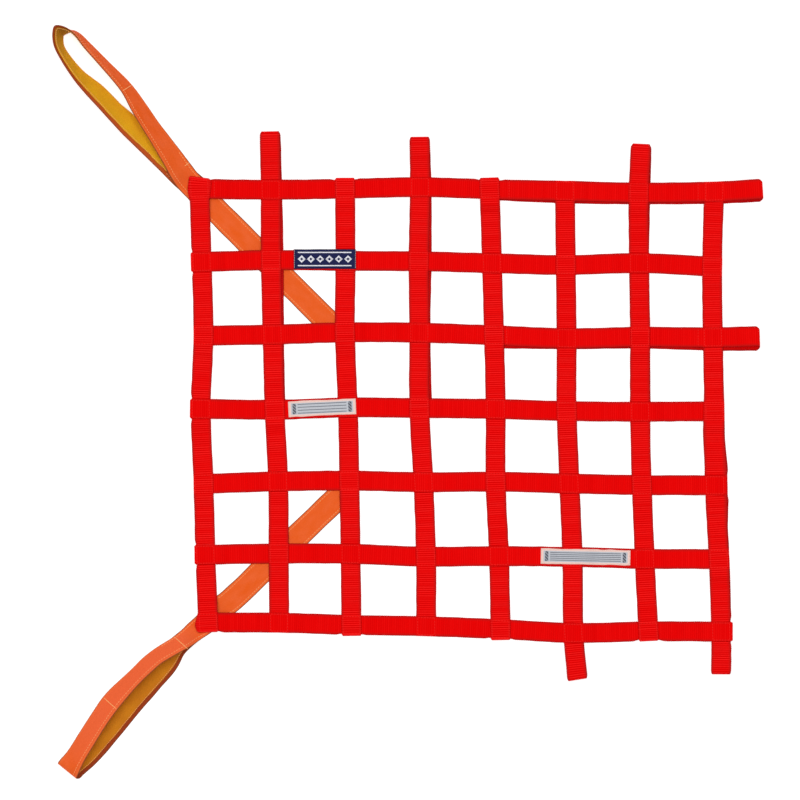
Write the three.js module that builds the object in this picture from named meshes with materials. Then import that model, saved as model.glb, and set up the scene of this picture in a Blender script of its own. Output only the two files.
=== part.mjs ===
// Racing window net: eight upright and seven cross straps of red webbing woven over and under,
// seven of them turned back into rod loops, with two two-tone pull handles and three sewn tags.
// Millimetres, +Z up. The net lies flat on its surface, face up, with its long edges along X.
// The origin is the middle of the whole outline, at the surface.
import * as THREE from 'three';

// Webbing
const WEBBING_WIDTH = 20;
const WEBBING_THICKNESS = 1.3;
const AIR = 0.3;
const LAYER = WEBBING_THICKNESS + AIR;
const HALF_WEBBING = WEBBING_WIDTH / 2;

// How a strap rises over what it crosses: level for PLATEAU each side of the crossing, then down over RAMP
const PLATEAU = 13.5;
const RAMP = 12;
const RAMP_STEPS = 2;
const LEAST_STEP = 0.5;

// Ends of the straps
const LOOP_INSIDE = 6;
const LOOP_STRAIGHT = 9;
const LOOP_STEPS = 6;
const LOOP_RAMP_STEPS = 3;
const LOOP_SETTLE = 2;
const WRAP_STEPS = 4;
const WRAP_SLACK = 0.6;
const HIDDEN_FOLD = 1.5;
const FLUSH_INSET = 0.5;
const RUN_INSET = 1;
const HEM_LENGTH = 19;
const RETURN_TAIL = 9;

// Pull handles: an orange cover ply with a narrower ochre lining sewn on its inner face
const HANDLE_WIDTH = 25;
const HANDLE_PLY = 1;
const LINING_WIDTH = 21.5;
const LINING_INSET = 0.5;
const HANDLE_STEPS_PER_ROW = 3;
const HANDLE_LAYER = HANDLE_PLY + AIR;
const HANDLE_LIFT_NEAR = 21;
const HANDLE_LIFT_FAR = 29;
const LIFT_STEP = 7;
const LIFT_CHANGE = 0.04;

// Sewn tags
const TAG_THICKNESS = 1;
const TAG_RAMP = 16;
const TAG_STEP = 4;
const TAG_OVERHANG = 1.5;

// Plan positions are in mm on the laying-out table: across from its left edge, down from its top edge.
// The part's origin lies at this point of the table.
const ORIGIN = { across: 407.95, down: 402.78 };

// Upright straps: where each centre line lies across the table at cross straps h1 to h7, and how it ends.
// A wrap goes round the edge strap, a fold is turned under itself, flush is cut off under the corner.
const UPRIGHTS = [
  { name: 'v1', at: [199.5, 201.7, 203.5, 200.8, 203.6, 205.4, 208.2], start: 'wrap', end: 'wrap' },
  { name: 'v2', at: [270.7, 271.0, 272.6, 274.7, 278.1, 278.8, 279.2], start: 'loop', end: 'fold' },
  { name: 'v3', at: [345.0, 345.5, 345.0, 347.8, 349.4, 350.6, 351.5], start: 'wrap', end: 'wrap' },
  { name: 'v4', at: [420.0, 418.6, 419.3, 419.3, 423.4, 426.0, 426.2], start: 'loop', end: 'fold' },
  { name: 'v5', at: [489.6, 492.0, 494.0, 495.7, 495.6, 499.0, 500.5], start: 'wrap', end: 'wrap' },
  { name: 'v6', at: [565.0, 565.7, 566.6, 566.5, 569.3, 572.2, 573.2], start: 'fold', end: 'loop' },
  { name: 'v7', at: [638.5, 639.0, 639.9, 640.0, 641.8, 644.7, 648.3], start: 'loop', end: 'wrap' },
  { name: 'v8', at: [714.0, 712.0, 712.8, 714.2, 714.8, 718.6, 721.0], start: 'flush', end: 'loop' },
];

// Cross straps: where each centre line lies down the table at uprights v1 to v8, and how it ends
const CROSS_STRAPS = [
  { name: 'h1', at: [188.8, 189.8, 188.7, 187.2, 189.3, 190.9, 192.6, 191.6], start: 'flush', end: 'loop' },
  { name: 'h2', at: [262.0, 260.1, 260.9, 261.3, 263.2, 265.0, 263.2, 266.5], start: 'wrap', end: 'fold' },
  { name: 'h3', at: [335.6, 334.6, 332.4, 332.7, 335.3, 338.2, 336.8, 337.4], start: 'fold', end: 'loop' },
  { name: 'h4', at: [408.8, 409.7, 407.5, 408.0, 409.0, 411.1, 411.7, 411.2], start: 'wrap', end: 'fold' },
  { name: 'h5', at: [483.8, 481.4, 480.6, 482.2, 481.7, 483.5, 485.1, 485.2], start: 'fold', end: 'wrap' },
  { name: 'h6', at: [554.6, 553.5, 553.8, 556.7, 556.0, 557.0, 558.8, 559.0], start: 'wrap', end: 'fold' },
  { name: 'h7', at: [622.5, 622.6, 625.0, 626.1, 629.2, 632.8, 631.4, 631.4], start: 'flush', end: 'wrap' },
];

// Rod loops: how far along the table the tip reaches, where the strap's centre line is there, and how far
// the leg that runs back behind the strap is shifted sideways at the tip and at the four crossings it passes
const ROD_LOOPS = [
  { strap: 'v2', tip: 131.5, side: 269.8, shiftAtTip: 0.8, shifts: [1.5, 2.7, 1.5, 0.7] },
  { strap: 'v4', tip: 137.0, side: 419.4, shiftAtTip: 0.5, shifts: [1.4, 3.0, 1.2, 3.3] },
  { strap: 'v7', tip: 144.0, side: 640.8, shiftAtTip: 0.8, shifts: [1.8, 0.2, 0.3, 0.8] },
  { strap: 'h1', tip: 762.7, side: 188.8, shiftAtTip: 3.0, shifts: [2.3, 1.8, 2.5, 0.7] },
  { strap: 'h3', tip: 759.6, side: 336.0, shiftAtTip: 4.8, shifts: [3.4, 1.8, 1.0, 3.2] },
  { strap: 'v6', tip: 679.4, side: 577.3, shiftAtTip: 0.5, shifts: [0.3, 0.4, 0.2, 0.3] },
  { strap: 'v8', tip: 674.2, side: 720.8, shiftAtTip: 0.2, shifts: [0.5, 1.2, 3.3, 2.0] },
];
const CROSSINGS_PASSED = 4;

// Pull handles, from the end sewn behind the third upright, under the corner, out to the tip and back.
// Each row gives both edges of the orange cover: first the edge that stays low, then the one that stands up.
const HANDLE_COLUMNS = ['lowAcross', 'lowDown', 'lowHeight', 'highAcross', 'highDown', 'highHeight'];
const HANDLES = [
  {
    name: 'upper',
    linedRows: [8, 26.4],
    rows: [
      [347.3, 323.7, 0.5, 329.7, 341.3, 0.5],
      [279.8, 256.2, 0.5, 262.2, 273.8, 0.5],
      [231.8, 208.2, 0.5, 214.2, 225.8, 0.5],
      [221.0, 197.4, 0.5, 203.4, 215.0, 0.5],
      [213.8, 190.2, 1.8, 196.2, 207.8, 1.8],
      [205.3, 180.7, 1.8, 187.7, 198.3, 1.8],
      [196.4, 171.4, 1.8, 178.6, 189.0, 1.9],
      [190.6, 163.4, 3.0, 172.4, 178.6, 9.0],
      [180.0, 151.0, 2.0, 162.5, 163.0, 15.1],
      [159.2, 126.0, 1.4, 145.3, 134.3, 20.4],
      [145.9, 106.0, 1.2, 133.4, 112.8, 21.8],
      [131.0, 85.4, 0.9, 121.8, 92.6, 23.1],
      [107.8, 62.4, 0.7, 101.3, 67.5, 24.3],
      [89.0, 43.5, 0.5, 84.5, 48.0, 24.7],
      [79.0, 34.8, 0.4, 76.5, 38.2, 25.0],
      [71.8, 31.4, 0.2, 71.0, 32.8, 25.0],
      [66.5, 32.6, 0.2, 64.2, 27.9, 24.6],
      [63.0, 35.6, 0.3, 57.0, 27.6, 23.0],
      [62.2, 40.0, 0.3, 53.3, 34.0, 22.9],
      [63.8, 46.4, 0.2, 54.7, 46.4, 23.5],
      [70.5, 55.5, 0.2, 62.0, 60.5, 23.2],
      [84.5, 71.5, 0.3, 75.0, 80.0, 21.8],
      [104.0, 87.0, 0.4, 91.0, 99.0, 18.1],
      [121.0, 103.8, 0.4, 107.8, 116.0, 17.8],
      [134.8, 114.7, 0.5, 120.0, 129.5, 14.1],
      [153.0, 130.8, 0.5, 137.0, 146.5, 11.6],
      [175.0, 150.0, 0.5, 158.0, 166.5, 8.5],
      [193.5, 168.0, 0.5, 176.0, 185.0, 4.0],
      [206.5, 181.0, 0.5, 189.5, 198.5, 0.5],
      [211.0, 186.0, 0.5, 194.0, 203.5, 0.5],
    ],
  },
  {
    name: 'lower',
    linedRows: [7.7, 25.4],
    rows: [
      [338.3, 479.5, 0.5, 355.7, 497.5, 0.5],
      [270.8, 544.3, 0.5, 288.2, 562.3, 0.5],
      [219.3, 593.7, 0.5, 236.7, 611.7, 0.5],
      [207.3, 600.9, 0.5, 224.7, 618.9, 0.5],
      [196.3, 611.2, 1.8, 213.7, 629.2, 1.8],
      [186.2, 623.4, 1.9, 202.8, 642.4, 2.3],
      [181.2, 628.6, 3.0, 196.8, 645.6, 8.0],
      [173.6, 635.2, 3.6, 188.9, 648.2, 16.0],
      [153.2, 649.1, 1.6, 162.2, 663.3, 20.1],
      [141.7, 658.7, 1.5, 153.4, 670.4, 20.2],
      [131.5, 668.9, 1.5, 142.3, 681.0, 20.5],
      [120.5, 679.2, 1.5, 132.2, 692.0, 19.4],
      [104.0, 695.7, 1.5, 118.8, 708.2, 17.1],
      [93.1, 711.4, 1.6, 109.5, 721.2, 17.7],
      [79.0, 733.0, 1.8, 95.7, 742.9, 17.6],
      [66.5, 752.5, 3.2, 83.4, 763.7, 17.5],
      [61.2, 760.4, 4.9, 78.0, 772.9, 12.6],
      [58.9, 763.8, 2.7, 76.3, 777.6, 6.6],
      [61.6, 761.6, 0.5, 80.5, 777.8, 1.6],
      [67.6, 756.8, 0.5, 83.6, 775.9, 0.8],
      [81.0, 745.8, 0.5, 96.4, 765.3, 0.5],
      [97.3, 727.1, 0.5, 116.3, 743.0, 0.5],
      [121.6, 696.2, 0.5, 141.2, 711.4, 0.5],
      [142.0, 671.7, 0.5, 160.8, 687.4, 0.5],
      [151.8, 660.9, 0.5, 171.0, 675.3, 0.5],
      [158.3, 653.2, 0.5, 178.7, 665.0, 0.5],
      [169.0, 640.5, 0.5, 186.6, 653.4, 0.5],
      [183.0, 624.8, 0.5, 199.2, 641.8, 0.5],
      [193.0, 615.0, 0.5, 209.6, 632.0, 0.5],
    ],
  },
];

// Where each handle lifts the straps above it: a straight run behind the net, and the doubled end at the corner
const HANDLE_RUNS = [
  { from: { across: 338.5, down: 332.5 }, to: { across: 187, down: 181 } },
  { from: { across: 202.5, down: 194.8 }, to: { across: 187, down: 181 } },
  { from: { across: 347, down: 488.5 }, to: { across: 196, down: 634 } },
  { from: { across: 201.3, down: 623.5 }, to: { across: 190, down: 634 } },
];

// Tags, each sewn on top of a cross strap: its ends, its middle and its height on the strap's face
const TAGS = [
  { name: 'woven_tag', strap: 'h2', from: 293.9, to: 355.9, middle: [259.1, 259.1], height: 19.4, over: null },
  { name: 'write_on_tag', strap: 'h4', from: 288.4, to: 355.9, middle: [409.3, 406.2], height: 15.7, over: null },
  { name: 'long_tag', strap: 'h6', from: 540.8, to: 630.2, middle: [555.9, 557.8], height: 15.2, over: 'v6' },
];

const MATERIALS = {
  webbing: new THREE.MeshStandardMaterial({ color: '#dc0a0a', roughness: 0.62, metalness: 0 }),
  cover: new THREE.MeshStandardMaterial({ color: '#ec6226', roughness: 0.6, metalness: 0 }),
  lining: new THREE.MeshStandardMaterial({ color: '#cf8f1c', roughness: 0.9, metalness: 0 }),
  wovenTag: new THREE.MeshStandardMaterial({ color: '#1d2450', roughness: 0.7, metalness: 0 }),
  paleTag: new THREE.MeshStandardMaterial({ color: '#c9cad4', roughness: 0.6, metalness: 0 }),
};

const clamp01 = (t) => Math.min(1, Math.max(0, t));
const ease = (t) => clamp01(t) ** 2 * (3 - 2 * clamp01(t));
const mix = (a, b, t) => a + (b - a) * t;

// A smooth curve through knots [position, value], straight on past both ends
function smoothThrough(knots) {
  const slopes = knots.map((knot, k) => {
    const before = knots[Math.max(0, k - 1)];
    const after = knots[Math.min(knots.length - 1, k + 1)];
    return (after[1] - before[1]) / (after[0] - before[0]);
  });
  return (u) => {
    const last = knots.length - 1;
    if (u <= knots[0][0]) return knots[0][1] + slopes[0] * (u - knots[0][0]);
    if (u >= knots[last][0]) return knots[last][1] + slopes[last] * (u - knots[last][0]);
    const k = knots.findIndex((knot) => knot[0] > u) - 1;
    const span = knots[k + 1][0] - knots[k][0];
    const t = (u - knots[k][0]) / span;
    const bend = (1 - t) * slopes[k] * t * (1 - t) - t * slopes[k + 1] * t * (1 - t);
    return mix(knots[k][1], knots[k + 1][1], t * t * (3 - 2 * t)) + span * bend;
  };
}

// The part's own frame from a place on the laying-out table
function place(across, down, height) {
  return new THREE.Vector3(across - ORIGIN.across, ORIGIN.down - down, height);
}

// Distance on the table from a point to a straight run
function distanceToRun(run, across, down) {
  const along = new THREE.Vector2(run.to.across - run.from.across, run.to.down - run.from.down);
  const offset = new THREE.Vector2(across - run.from.across, down - run.from.down);
  const t = clamp01(offset.dot(along) / along.lengthSq());
  return offset.sub(along.multiplyScalar(t)).length();
}

// How much the handles beneath raise a strap whose centre line passes here
function handleLift(across, down) {
  const parts = HANDLE_RUNS.map((run) => {
    const away = distanceToRun(run, across, down) - HANDLE_LIFT_NEAR;
    return HANDLE_LAYER * (1 - ease(away / (HANDLE_LIFT_FAR - HANDLE_LIFT_NEAR)));
  });
  return parts.reduce((sum, part) => sum + part, 0);
}

// Two triangles over a side of a ribbon, split along the diagonal that lies further out of its face
function splitSide(corners, [a, b, c, d], out) {
  const midpoint = (from, to) => corners[from].clone().add(corners[to]);
  const lean = midpoint(a, c).sub(midpoint(b, d)).dot(out);
  return lean >= 0 ? [[a, b, c], [a, c, d]] : [[a, b, d], [b, c, d]];
}

// One closed solid from a row of four-cornered sections
function solidFromSections(sections) {
  const corners = sections.flat();
  const ring = 4;
  const faces = [[0, 1, 2], [0, 2, 3]];
  const last = (sections.length - 1) * ring;
  faces.push([last + 2, last + 1, last], [last + 3, last + 2, last]);
  for (let row = 0; row < last; row += ring) {
    const out = corners[row].clone().sub(corners[row + ring - 1]);
    for (let side = 0; side < ring; side += 1) {
      const next = (side + 1) % ring;
      const quad = [row + side, row + ring + side, row + ring + next, row + next];
      faces.push(...splitSide(corners, quad, out));
    }
  }
  const volume = faces.reduce((sum, [a, b, c]) => {
    return sum + corners[a].dot(new THREE.Vector3().crossVectors(corners[b], corners[c]));
  }, 0);
  const outward = volume > 0 ? faces : faces.map(([a, b, c]) => [c, b, a]);
  const geometry = new THREE.BufferGeometry();
  geometry.setFromPoints(corners);
  geometry.setIndex(outward.flat());
  geometry.computeVertexNormals();
  return geometry;
}

// The direction out of a ribbon's face at each station, long enough to keep the thickness round a bend
function facesOf(stations) {
  const flats = stations.slice(1).map((station, k) => {
    const along = new THREE.Vector3().subVectors(station.centre, stations[k].centre);
    const side = new THREE.Vector3().addVectors(station.side, stations[k].side);
    return side.cross(along).normalize();
  });
  return stations.map((station, k) => {
    const before = flats[Math.max(0, k - 1)];
    const after = flats[Math.min(flats.length - 1, k)];
    return before.clone().add(after).divideScalar(1 + before.dot(after));
  });
}

// A flat ribbon: stations give its centre and its sideways direction, and the thickness stands on its face
function ribbon(stations, width, thickness) {
  const faces = facesOf(stations);
  const sections = stations.map((station, k) => {
    const out = faces[k].clone().multiplyScalar(thickness / 2);
    const side = station.side.clone().multiplyScalar(width / 2);
    return [
      station.centre.clone().add(side).add(out),
      station.centre.clone().sub(side).add(out),
      station.centre.clone().sub(side).sub(out),
      station.centre.clone().add(side).sub(out),
    ];
  });
  return solidFromSections(sections);
}

// Where a strap's loop, if it has one, makes it run back behind itself
function loopOf(strap) {
  return ROD_LOOPS.find((loop) => loop.strap === strap.name);
}

function runsBackUnder(strap, k) {
  const fromEnd = strap.start === 'loop' ? k : strap.at.length - 1 - k;
  return loopOf(strap) !== undefined && fromEnd < CROSSINGS_PASSED;
}

function endAt(strap, k) {
  if (k === 0) return strap.start;
  return k === strap.at.length - 1 ? strap.end : null;
}

// The pile at a crossing, from the surface up: each layer's underside, without what the handles add
function pileAt(upright, cross) {
  const straps = { up: UPRIGHTS[upright], across: CROSS_STRAPS[cross] };
  const index = { up: cross, across: upright };
  const over = (upright + cross) % 2 === 0 ? 'up' : 'across';
  const under = over === 'up' ? 'across' : 'up';
  const layers = [];
  if (endAt(straps[over], index[over]) === 'wrap') layers.push(`${over} hem`);
  if (runsBackUnder(straps.across, index.across)) layers.push('across return');
  if (runsBackUnder(straps.up, index.up)) layers.push('up return');
  if (endAt(straps[under], index[under]) === 'fold') layers.push(`${under} hem`);
  layers.push(`${under} strap`, `${over} strap`);
  return Object.fromEntries(layers.map((layer, k) => [layer, k * LAYER]));
}

// A strap with its crossings, seen along its own length: u runs along it and w to its side
function strapLayout(kind, number) {
  const upright = kind === 'up';
  const strap = upright ? UPRIGHTS[number] : CROSS_STRAPS[number];
  const others = upright ? CROSS_STRAPS : UPRIGHTS;
  const crossings = strap.at.map((w, k) => {
    const pile = upright ? pileAt(number, k) : pileAt(k, number);
    return {
      u: others[k].at[number],
      w,
      edgeShift: loopOf(others[k]) && runsBackUnder(others[k], number) ? returnShift(others[k], number) : 0,
      strap: pile[`${kind} strap`],
      back: pile[`${kind} return`],
      hem: pile[`${kind} hem`],
    };
  });
  const knots = crossings.map((crossing) => [crossing.u, crossing.w]);
  const loop = loopOf(strap);
  if (loop) knots.push([loop.tip, loop.side]);
  knots.sort((a, b) => a[0] - b[0]);
  const middle = smoothThrough(knots);
  const spot = (u, shift) => (upright ? [middle(u) + shift, u] : [u, middle(u) + shift]);
  const sideAt = (u) => {
    const slope = (middle(u + 1) - middle(u - 1)) / 2;
    const side = upright ? new THREE.Vector3(1, slope, 0) : new THREE.Vector3(slope, 1, 0);
    return side.normalize();
  };
  return { strap, crossings, loop, spot, sideAt, lift: (u) => handleLift(...spot(u, 0)) };
}

// The sideways shift of a loop's returning leg at one of the crossings that it passes
function returnShift(strap, k) {
  const fromEnd = strap.start === 'loop' ? k : strap.at.length - 1 - k;
  return loopOf(strap).shifts[fromEnd];
}

// Height along a run: level at each crossing, and down to rest between two of them
function heightAlong(plateaus, rests) {
  return (u) => {
    const at = plateaus.find((plateau) => Math.abs(u - plateau.u) <= PLATEAU);
    if (at) return at.z;
    const k = plateaus.findIndex((plateau) => plateau.u > u);
    if (k <= 0) {
      const end = k === 0 ? plateaus[0] : plateaus[plateaus.length - 1];
      return mix(end.z, 0, ease((Math.abs(u - end.u) - PLATEAU) / RAMP));
    }
    const [before, after] = [plateaus[k - 1], plateaus[k]];
    const rest = rests[k - 1];
    const fall = 1 - ease((u - before.u - PLATEAU) / RAMP);
    const rise = 1 - ease((after.u - PLATEAU - u) / RAMP);
    return rest + (before.z - rest) * fall + (after.z - rest) * rise;
  };
}

// Places along a run where its sections stand: at plateau ends, down the ramps and midway
function sectionPlaces(plateaus, from, to) {
  const places = [from, to];
  plateaus.forEach((plateau) => {
    for (let step = 0; step <= RAMP_STEPS; step += 1) {
      const reach = PLATEAU + (RAMP * step) / RAMP_STEPS;
      places.push(plateau.u - reach, plateau.u + reach);
    }
  });
  const inside = places.filter((u) => u >= from && u <= to).sort((a, b) => a - b);
  return inside.filter((u, k) => k === 0 || u - inside[k - 1] > LEAST_STEP || u === to);
}

// More sections where the handles beneath change the height, fewer where nothing bends
function fitPlaces(places, lift) {
  const fitted = [places[0]];
  places.slice(1).forEach((u) => {
    const before = fitted[fitted.length - 1];
    const middle = (u + before) / 2;
    const changes = [u, middle].some((at) => Math.abs(lift(at) - lift(before)) > LIFT_CHANGE);
    const pieces = changes ? Math.ceil((u - before) / LIFT_STEP) : 1;
    for (let piece = 1; piece <= pieces; piece += 1) fitted.push(mix(before, u, piece / pieces));
  });
  return fitted;
}

// Half a turn in the upright plane, from an end's high leg down to its low one
function turn(u, lowHeight, highHeight, outward, steps) {
  const radius = (highHeight - lowHeight) / 2;
  return Array.from({ length: steps + 1 }, (_, k) => {
    const angle = Math.PI * (0.5 - k / steps);
    return { u: u + outward * radius * Math.cos(angle), z: lowHeight + radius * (1 + Math.sin(angle)) };
  });
}

// One end of a strap as points that follow the run outwards: a loop, a wrap, a fold or a cut
function strapEnd(layout, where, mainHeight) {
  const { strap, crossings, loop, lift } = layout;
  const kind = where === 'start' ? strap.start : strap.end;
  const outward = where === 'start' ? -1 : 1;
  const edge = where === 'start' ? crossings[0] : crossings[crossings.length - 1];
  const rim = edge.u + outward * HALF_WEBBING;
  const core = WEBBING_THICKNESS / 2;
  if (kind === 'flush') {
    return [{ u: rim - outward * FLUSH_INSET, z: mainHeight(rim) + core, shift: 0 }];
  }
  if (kind === 'wrap' || kind === 'fold') {
    const low = edge.hem + lift(edge.u) + core;
    const high = edge.strap + lift(edge.u) + core;
    const proud = outward > 0 ? edge.edgeShift : 0;
    const u = kind === 'wrap' ? rim + outward * (proud + WRAP_SLACK) : rim - outward * HIDDEN_FOLD;
    const arc = turn(u, low, high, outward, WRAP_STEPS);
    arc.push({ u: rim - outward * HEM_LENGTH, z: low });
    return arc.map((point) => ({ ...point, shift: 0 }));
  }
  return loopEnd(layout, loop, outward, mainHeight);
}

// A rod loop: up to the loop's height, round the tip, and back on the surface behind four crossings
function loopEnd(layout, loop, outward, mainHeight) {
  const { crossings, lift } = layout;
  const core = WEBBING_THICKNESS / 2;
  const low = core;
  const high = core + LOOP_INSIDE + WEBBING_THICKNESS;
  const radius = (high - low) / 2;
  const tipCentre = loop.tip - outward * (radius + core);
  const passed = (outward < 0 ? crossings : [...crossings].reverse()).slice(0, CROSSINGS_PASSED);
  const edge = passed[0];
  const rampStart = edge.u + outward * PLATEAU;
  const rampEnd = tipCentre - outward * LOOP_STRAIGHT;
  const base = mainHeight(rampStart) + core;
  const upper = Array.from({ length: LOOP_RAMP_STEPS + 1 }, (_, k) => {
    const t = k / LOOP_RAMP_STEPS;
    return { u: mix(rampStart, rampEnd, t), z: mix(base, high, ease(t)), shift: 0 };
  });
  const arc = turn(tipCentre, low, high, outward, LOOP_STEPS).map((point, k) => {
    return { ...point, shift: loop.shiftAtTip * ease(k / LOOP_STEPS) };
  });
  const shiftKnots = [[loop.tip, loop.shiftAtTip], ...passed.map((crossing, k) => [crossing.u, loop.shifts[k]])];
  const shiftAt = smoothThrough(shiftKnots.sort((a, b) => a[0] - b[0]));
  const plateaus = passed.map((crossing) => ({ u: crossing.u, z: crossing.back }));
  plateaus.sort((a, b) => a.u - b.u);
  const height = heightAlong(plateaus, plateaus.map(() => 0));
  const tail = passed[passed.length - 1].u - outward * RETURN_TAIL;
  const [from, to] = [tail, tipCentre - outward * LOOP_SETTLE].sort((a, b) => a - b);
  const places = fitPlaces(sectionPlaces(plateaus, from, to), lift);
  const back = places.map((u) => ({ u, z: height(u) + lift(u) + core, shift: shiftAt(u) }));
  return [...upper, ...arc, ...(outward > 0 ? back.reverse() : back)];
}

// The whole strap as one ribbon: end, run and end, each station with its centre and sideways direction
function strapStations(kind, number) {
  const layout = strapLayout(kind, number);
  const { strap, crossings, spot, sideAt, lift } = layout;
  const plateaus = crossings.map((crossing) => ({ u: crossing.u, z: crossing.strap }));
  const rests = crossings.slice(1).map((_, k) => {
    return runsBackUnder(strap, k) && runsBackUnder(strap, k + 1) ? LAYER : 0;
  });
  const height = heightAlong(plateaus, rests);
  const mainHeight = (u) => height(u) + lift(u);
  const reach = (ending) => {
    if (ending === 'loop') return PLATEAU - 2 * RUN_INSET;
    return HALF_WEBBING - RUN_INSET - (ending === 'fold' ? HIDDEN_FOLD : 0);
  };
  const from = crossings[0].u - reach(strap.start);
  const to = crossings[crossings.length - 1].u + reach(strap.end);
  const places = fitPlaces(sectionPlaces(plateaus, from, to), lift);
  const run = places.map((u) => ({ u, z: mainHeight(u) + WEBBING_THICKNESS / 2, shift: 0 }));
  const points = [
    ...strapEnd(layout, 'start', mainHeight).reverse(),
    ...run,
    ...strapEnd(layout, 'end', mainHeight),
  ];
  return points.map((point) => ({
    centre: place(...spot(point.u, point.shift), point.z),
    side: sideAt(point.u),
  }));
}

// A point on a smooth curve through a handle's rows, for one of its two edges
function edgeCurve(rows, prefix) {
  const columns = ['Across', 'Down', 'Height'].map((name) => HANDLE_COLUMNS.indexOf(prefix + name));
  const points = rows.map((row) => place(...columns.map((column) => row[column])));
  return new THREE.CatmullRomCurve3(points, false, 'centripetal');
}

// A handle's middle line as stations, raised where a ply would dip below the surface
function handleSpine(handle) {
  const low = edgeCurve(handle.rows, 'low');
  const high = edgeCurve(handle.rows, 'high');
  const spans = handle.rows.length - 1;
  const steps = spans * HANDLE_STEPS_PER_ROW;
  const stations = Array.from({ length: steps + 1 }, (_, k) => {
    const [lowEdge, highEdge] = [low.getPoint(k / steps), high.getPoint(k / steps)];
    const side = new THREE.Vector3().subVectors(lowEdge, highEdge).normalize();
    return { centre: lowEdge.add(highEdge).multiplyScalar(0.5), side, row: k / HANDLE_STEPS_PER_ROW };
  });
  const faces = facesOf(stations);
  stations.forEach((station, k) => {
    const lined = station.row >= handle.linedRows[0] && station.row <= handle.linedRows[1];
    const depth = lined && faces[k].z > 0 ? HANDLE_LAYER + HANDLE_PLY / 2 : HANDLE_PLY / 2;
    const lowest = station.centre.z - (Math.abs(station.side.z) * HANDLE_WIDTH) / 2;
    station.centre.z += Math.max(0, depth * Math.abs(faces[k].z) - lowest);
  });
  return stations;
}

function handleCover(handle) {
  return ribbon(handleSpine(handle), HANDLE_WIDTH, HANDLE_PLY);
}

// The lining lies on the cover's inner face, nearer to its low edge, and only round the loop
function handleLining(handle) {
  const spine = handleSpine(handle);
  const faces = facesOf(spine);
  const fromMiddle = (HANDLE_WIDTH - LINING_WIDTH) / 2 - LINING_INSET;
  spine.forEach((station, k) => {
    station.centre.addScaledVector(station.side, fromMiddle).addScaledVector(faces[k], -HANDLE_LAYER);
  });
  const [from, to] = handle.linedRows;
  const lined = spine.filter((station) => station.row >= from && station.row <= to);
  return ribbon(lined, LINING_WIDTH, HANDLE_PLY);
}

// A tag that follows the top of its strap, and rises over an upright that passes above that strap
function tagStations(tag) {
  const number = CROSS_STRAPS.findIndex((strap) => strap.name === tag.strap);
  const { crossings, lift } = strapLayout('across', number);
  const plateaus = crossings.map((crossing) => ({ u: crossing.u, z: crossing.strap }));
  const height = heightAlong(plateaus, plateaus.map(() => 0));
  const seat = LAYER + TAG_THICKNESS / 2;
  const overNumber = UPRIGHTS.findIndex((strap) => strap.name === tag.over);
  const bump = (u) => {
    if (overNumber < 0) return 0;
    const crossing = crossings[overNumber];
    const top = crossing.strap + LAYER;
    const away = Math.abs(u - crossing.u) - HALF_WEBBING - TAG_OVERHANG;
    return top * (1 - ease(away / TAG_RAMP));
  };
  const steps = Math.ceil((tag.to - tag.from) / TAG_STEP);
  return Array.from({ length: steps + 1 }, (_, k) => {
    const across = mix(tag.from, tag.to, k / steps);
    const down = mix(tag.middle[0], tag.middle[1], k / steps);
    const slope = (tag.middle[1] - tag.middle[0]) / (tag.to - tag.from);
    return {
      centre: place(across, down, Math.max(height(across), bump(across)) + lift(across) + seat),
      side: new THREE.Vector3(slope, 1, 0).normalize(),
    };
  });
}

const net = new THREE.Group();

function addPiece(name, geometry, material) {
  const mesh = new THREE.Mesh(geometry, material);
  mesh.name = name;
  net.add(mesh);
}

UPRIGHTS.forEach((strap, number) => {
  const geometry = ribbon(strapStations('up', number), WEBBING_WIDTH, WEBBING_THICKNESS);
  addPiece(`strap_${strap.name}`, geometry, MATERIALS.webbing);
});

CROSS_STRAPS.forEach((strap, number) => {
  const geometry = ribbon(strapStations('across', number), WEBBING_WIDTH, WEBBING_THICKNESS);
  addPiece(`strap_${strap.name}`, geometry, MATERIALS.webbing);
});

HANDLES.forEach((handle) => {
  addPiece(`${handle.name}_handle_cover`, handleCover(handle), MATERIALS.cover);
  addPiece(`${handle.name}_handle_lining`, handleLining(handle), MATERIALS.lining);
});

TAGS.forEach((tag) => {
  const geometry = ribbon(tagStations(tag), tag.height, TAG_THICKNESS);
  const material = tag.name === 'woven_tag' ? MATERIALS.wovenTag : MATERIALS.paleTag;
  addPiece(tag.name, geometry, material);
});

export default net;
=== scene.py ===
import math
from types import SimpleNamespace

import bpy
import numpy as np
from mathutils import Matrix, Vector


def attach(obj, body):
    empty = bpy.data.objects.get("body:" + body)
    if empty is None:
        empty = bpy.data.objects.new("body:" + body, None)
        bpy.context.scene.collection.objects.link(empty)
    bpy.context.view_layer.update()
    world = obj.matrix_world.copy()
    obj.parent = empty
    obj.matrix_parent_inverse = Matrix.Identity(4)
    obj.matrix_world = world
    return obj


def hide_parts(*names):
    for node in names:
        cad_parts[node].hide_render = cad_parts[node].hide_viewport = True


# Racing window net: the looks of its webbing, handles, tags and sewing.
# Lengths are in millimetres until a mesh is made. Plan places are on the laying-out table of the part's
# source: across from its left edge, down from its top edge, 1 mm for each pixel of the photo.

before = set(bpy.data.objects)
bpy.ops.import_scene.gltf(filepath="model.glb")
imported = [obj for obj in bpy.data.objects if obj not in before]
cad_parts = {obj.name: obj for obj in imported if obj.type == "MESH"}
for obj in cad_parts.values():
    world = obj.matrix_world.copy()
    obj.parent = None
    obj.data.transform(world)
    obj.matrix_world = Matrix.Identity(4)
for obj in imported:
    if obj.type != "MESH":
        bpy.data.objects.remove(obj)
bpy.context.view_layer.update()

MM = 0.001
ORIGIN = SimpleNamespace(across=407.95, down=402.78)

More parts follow.
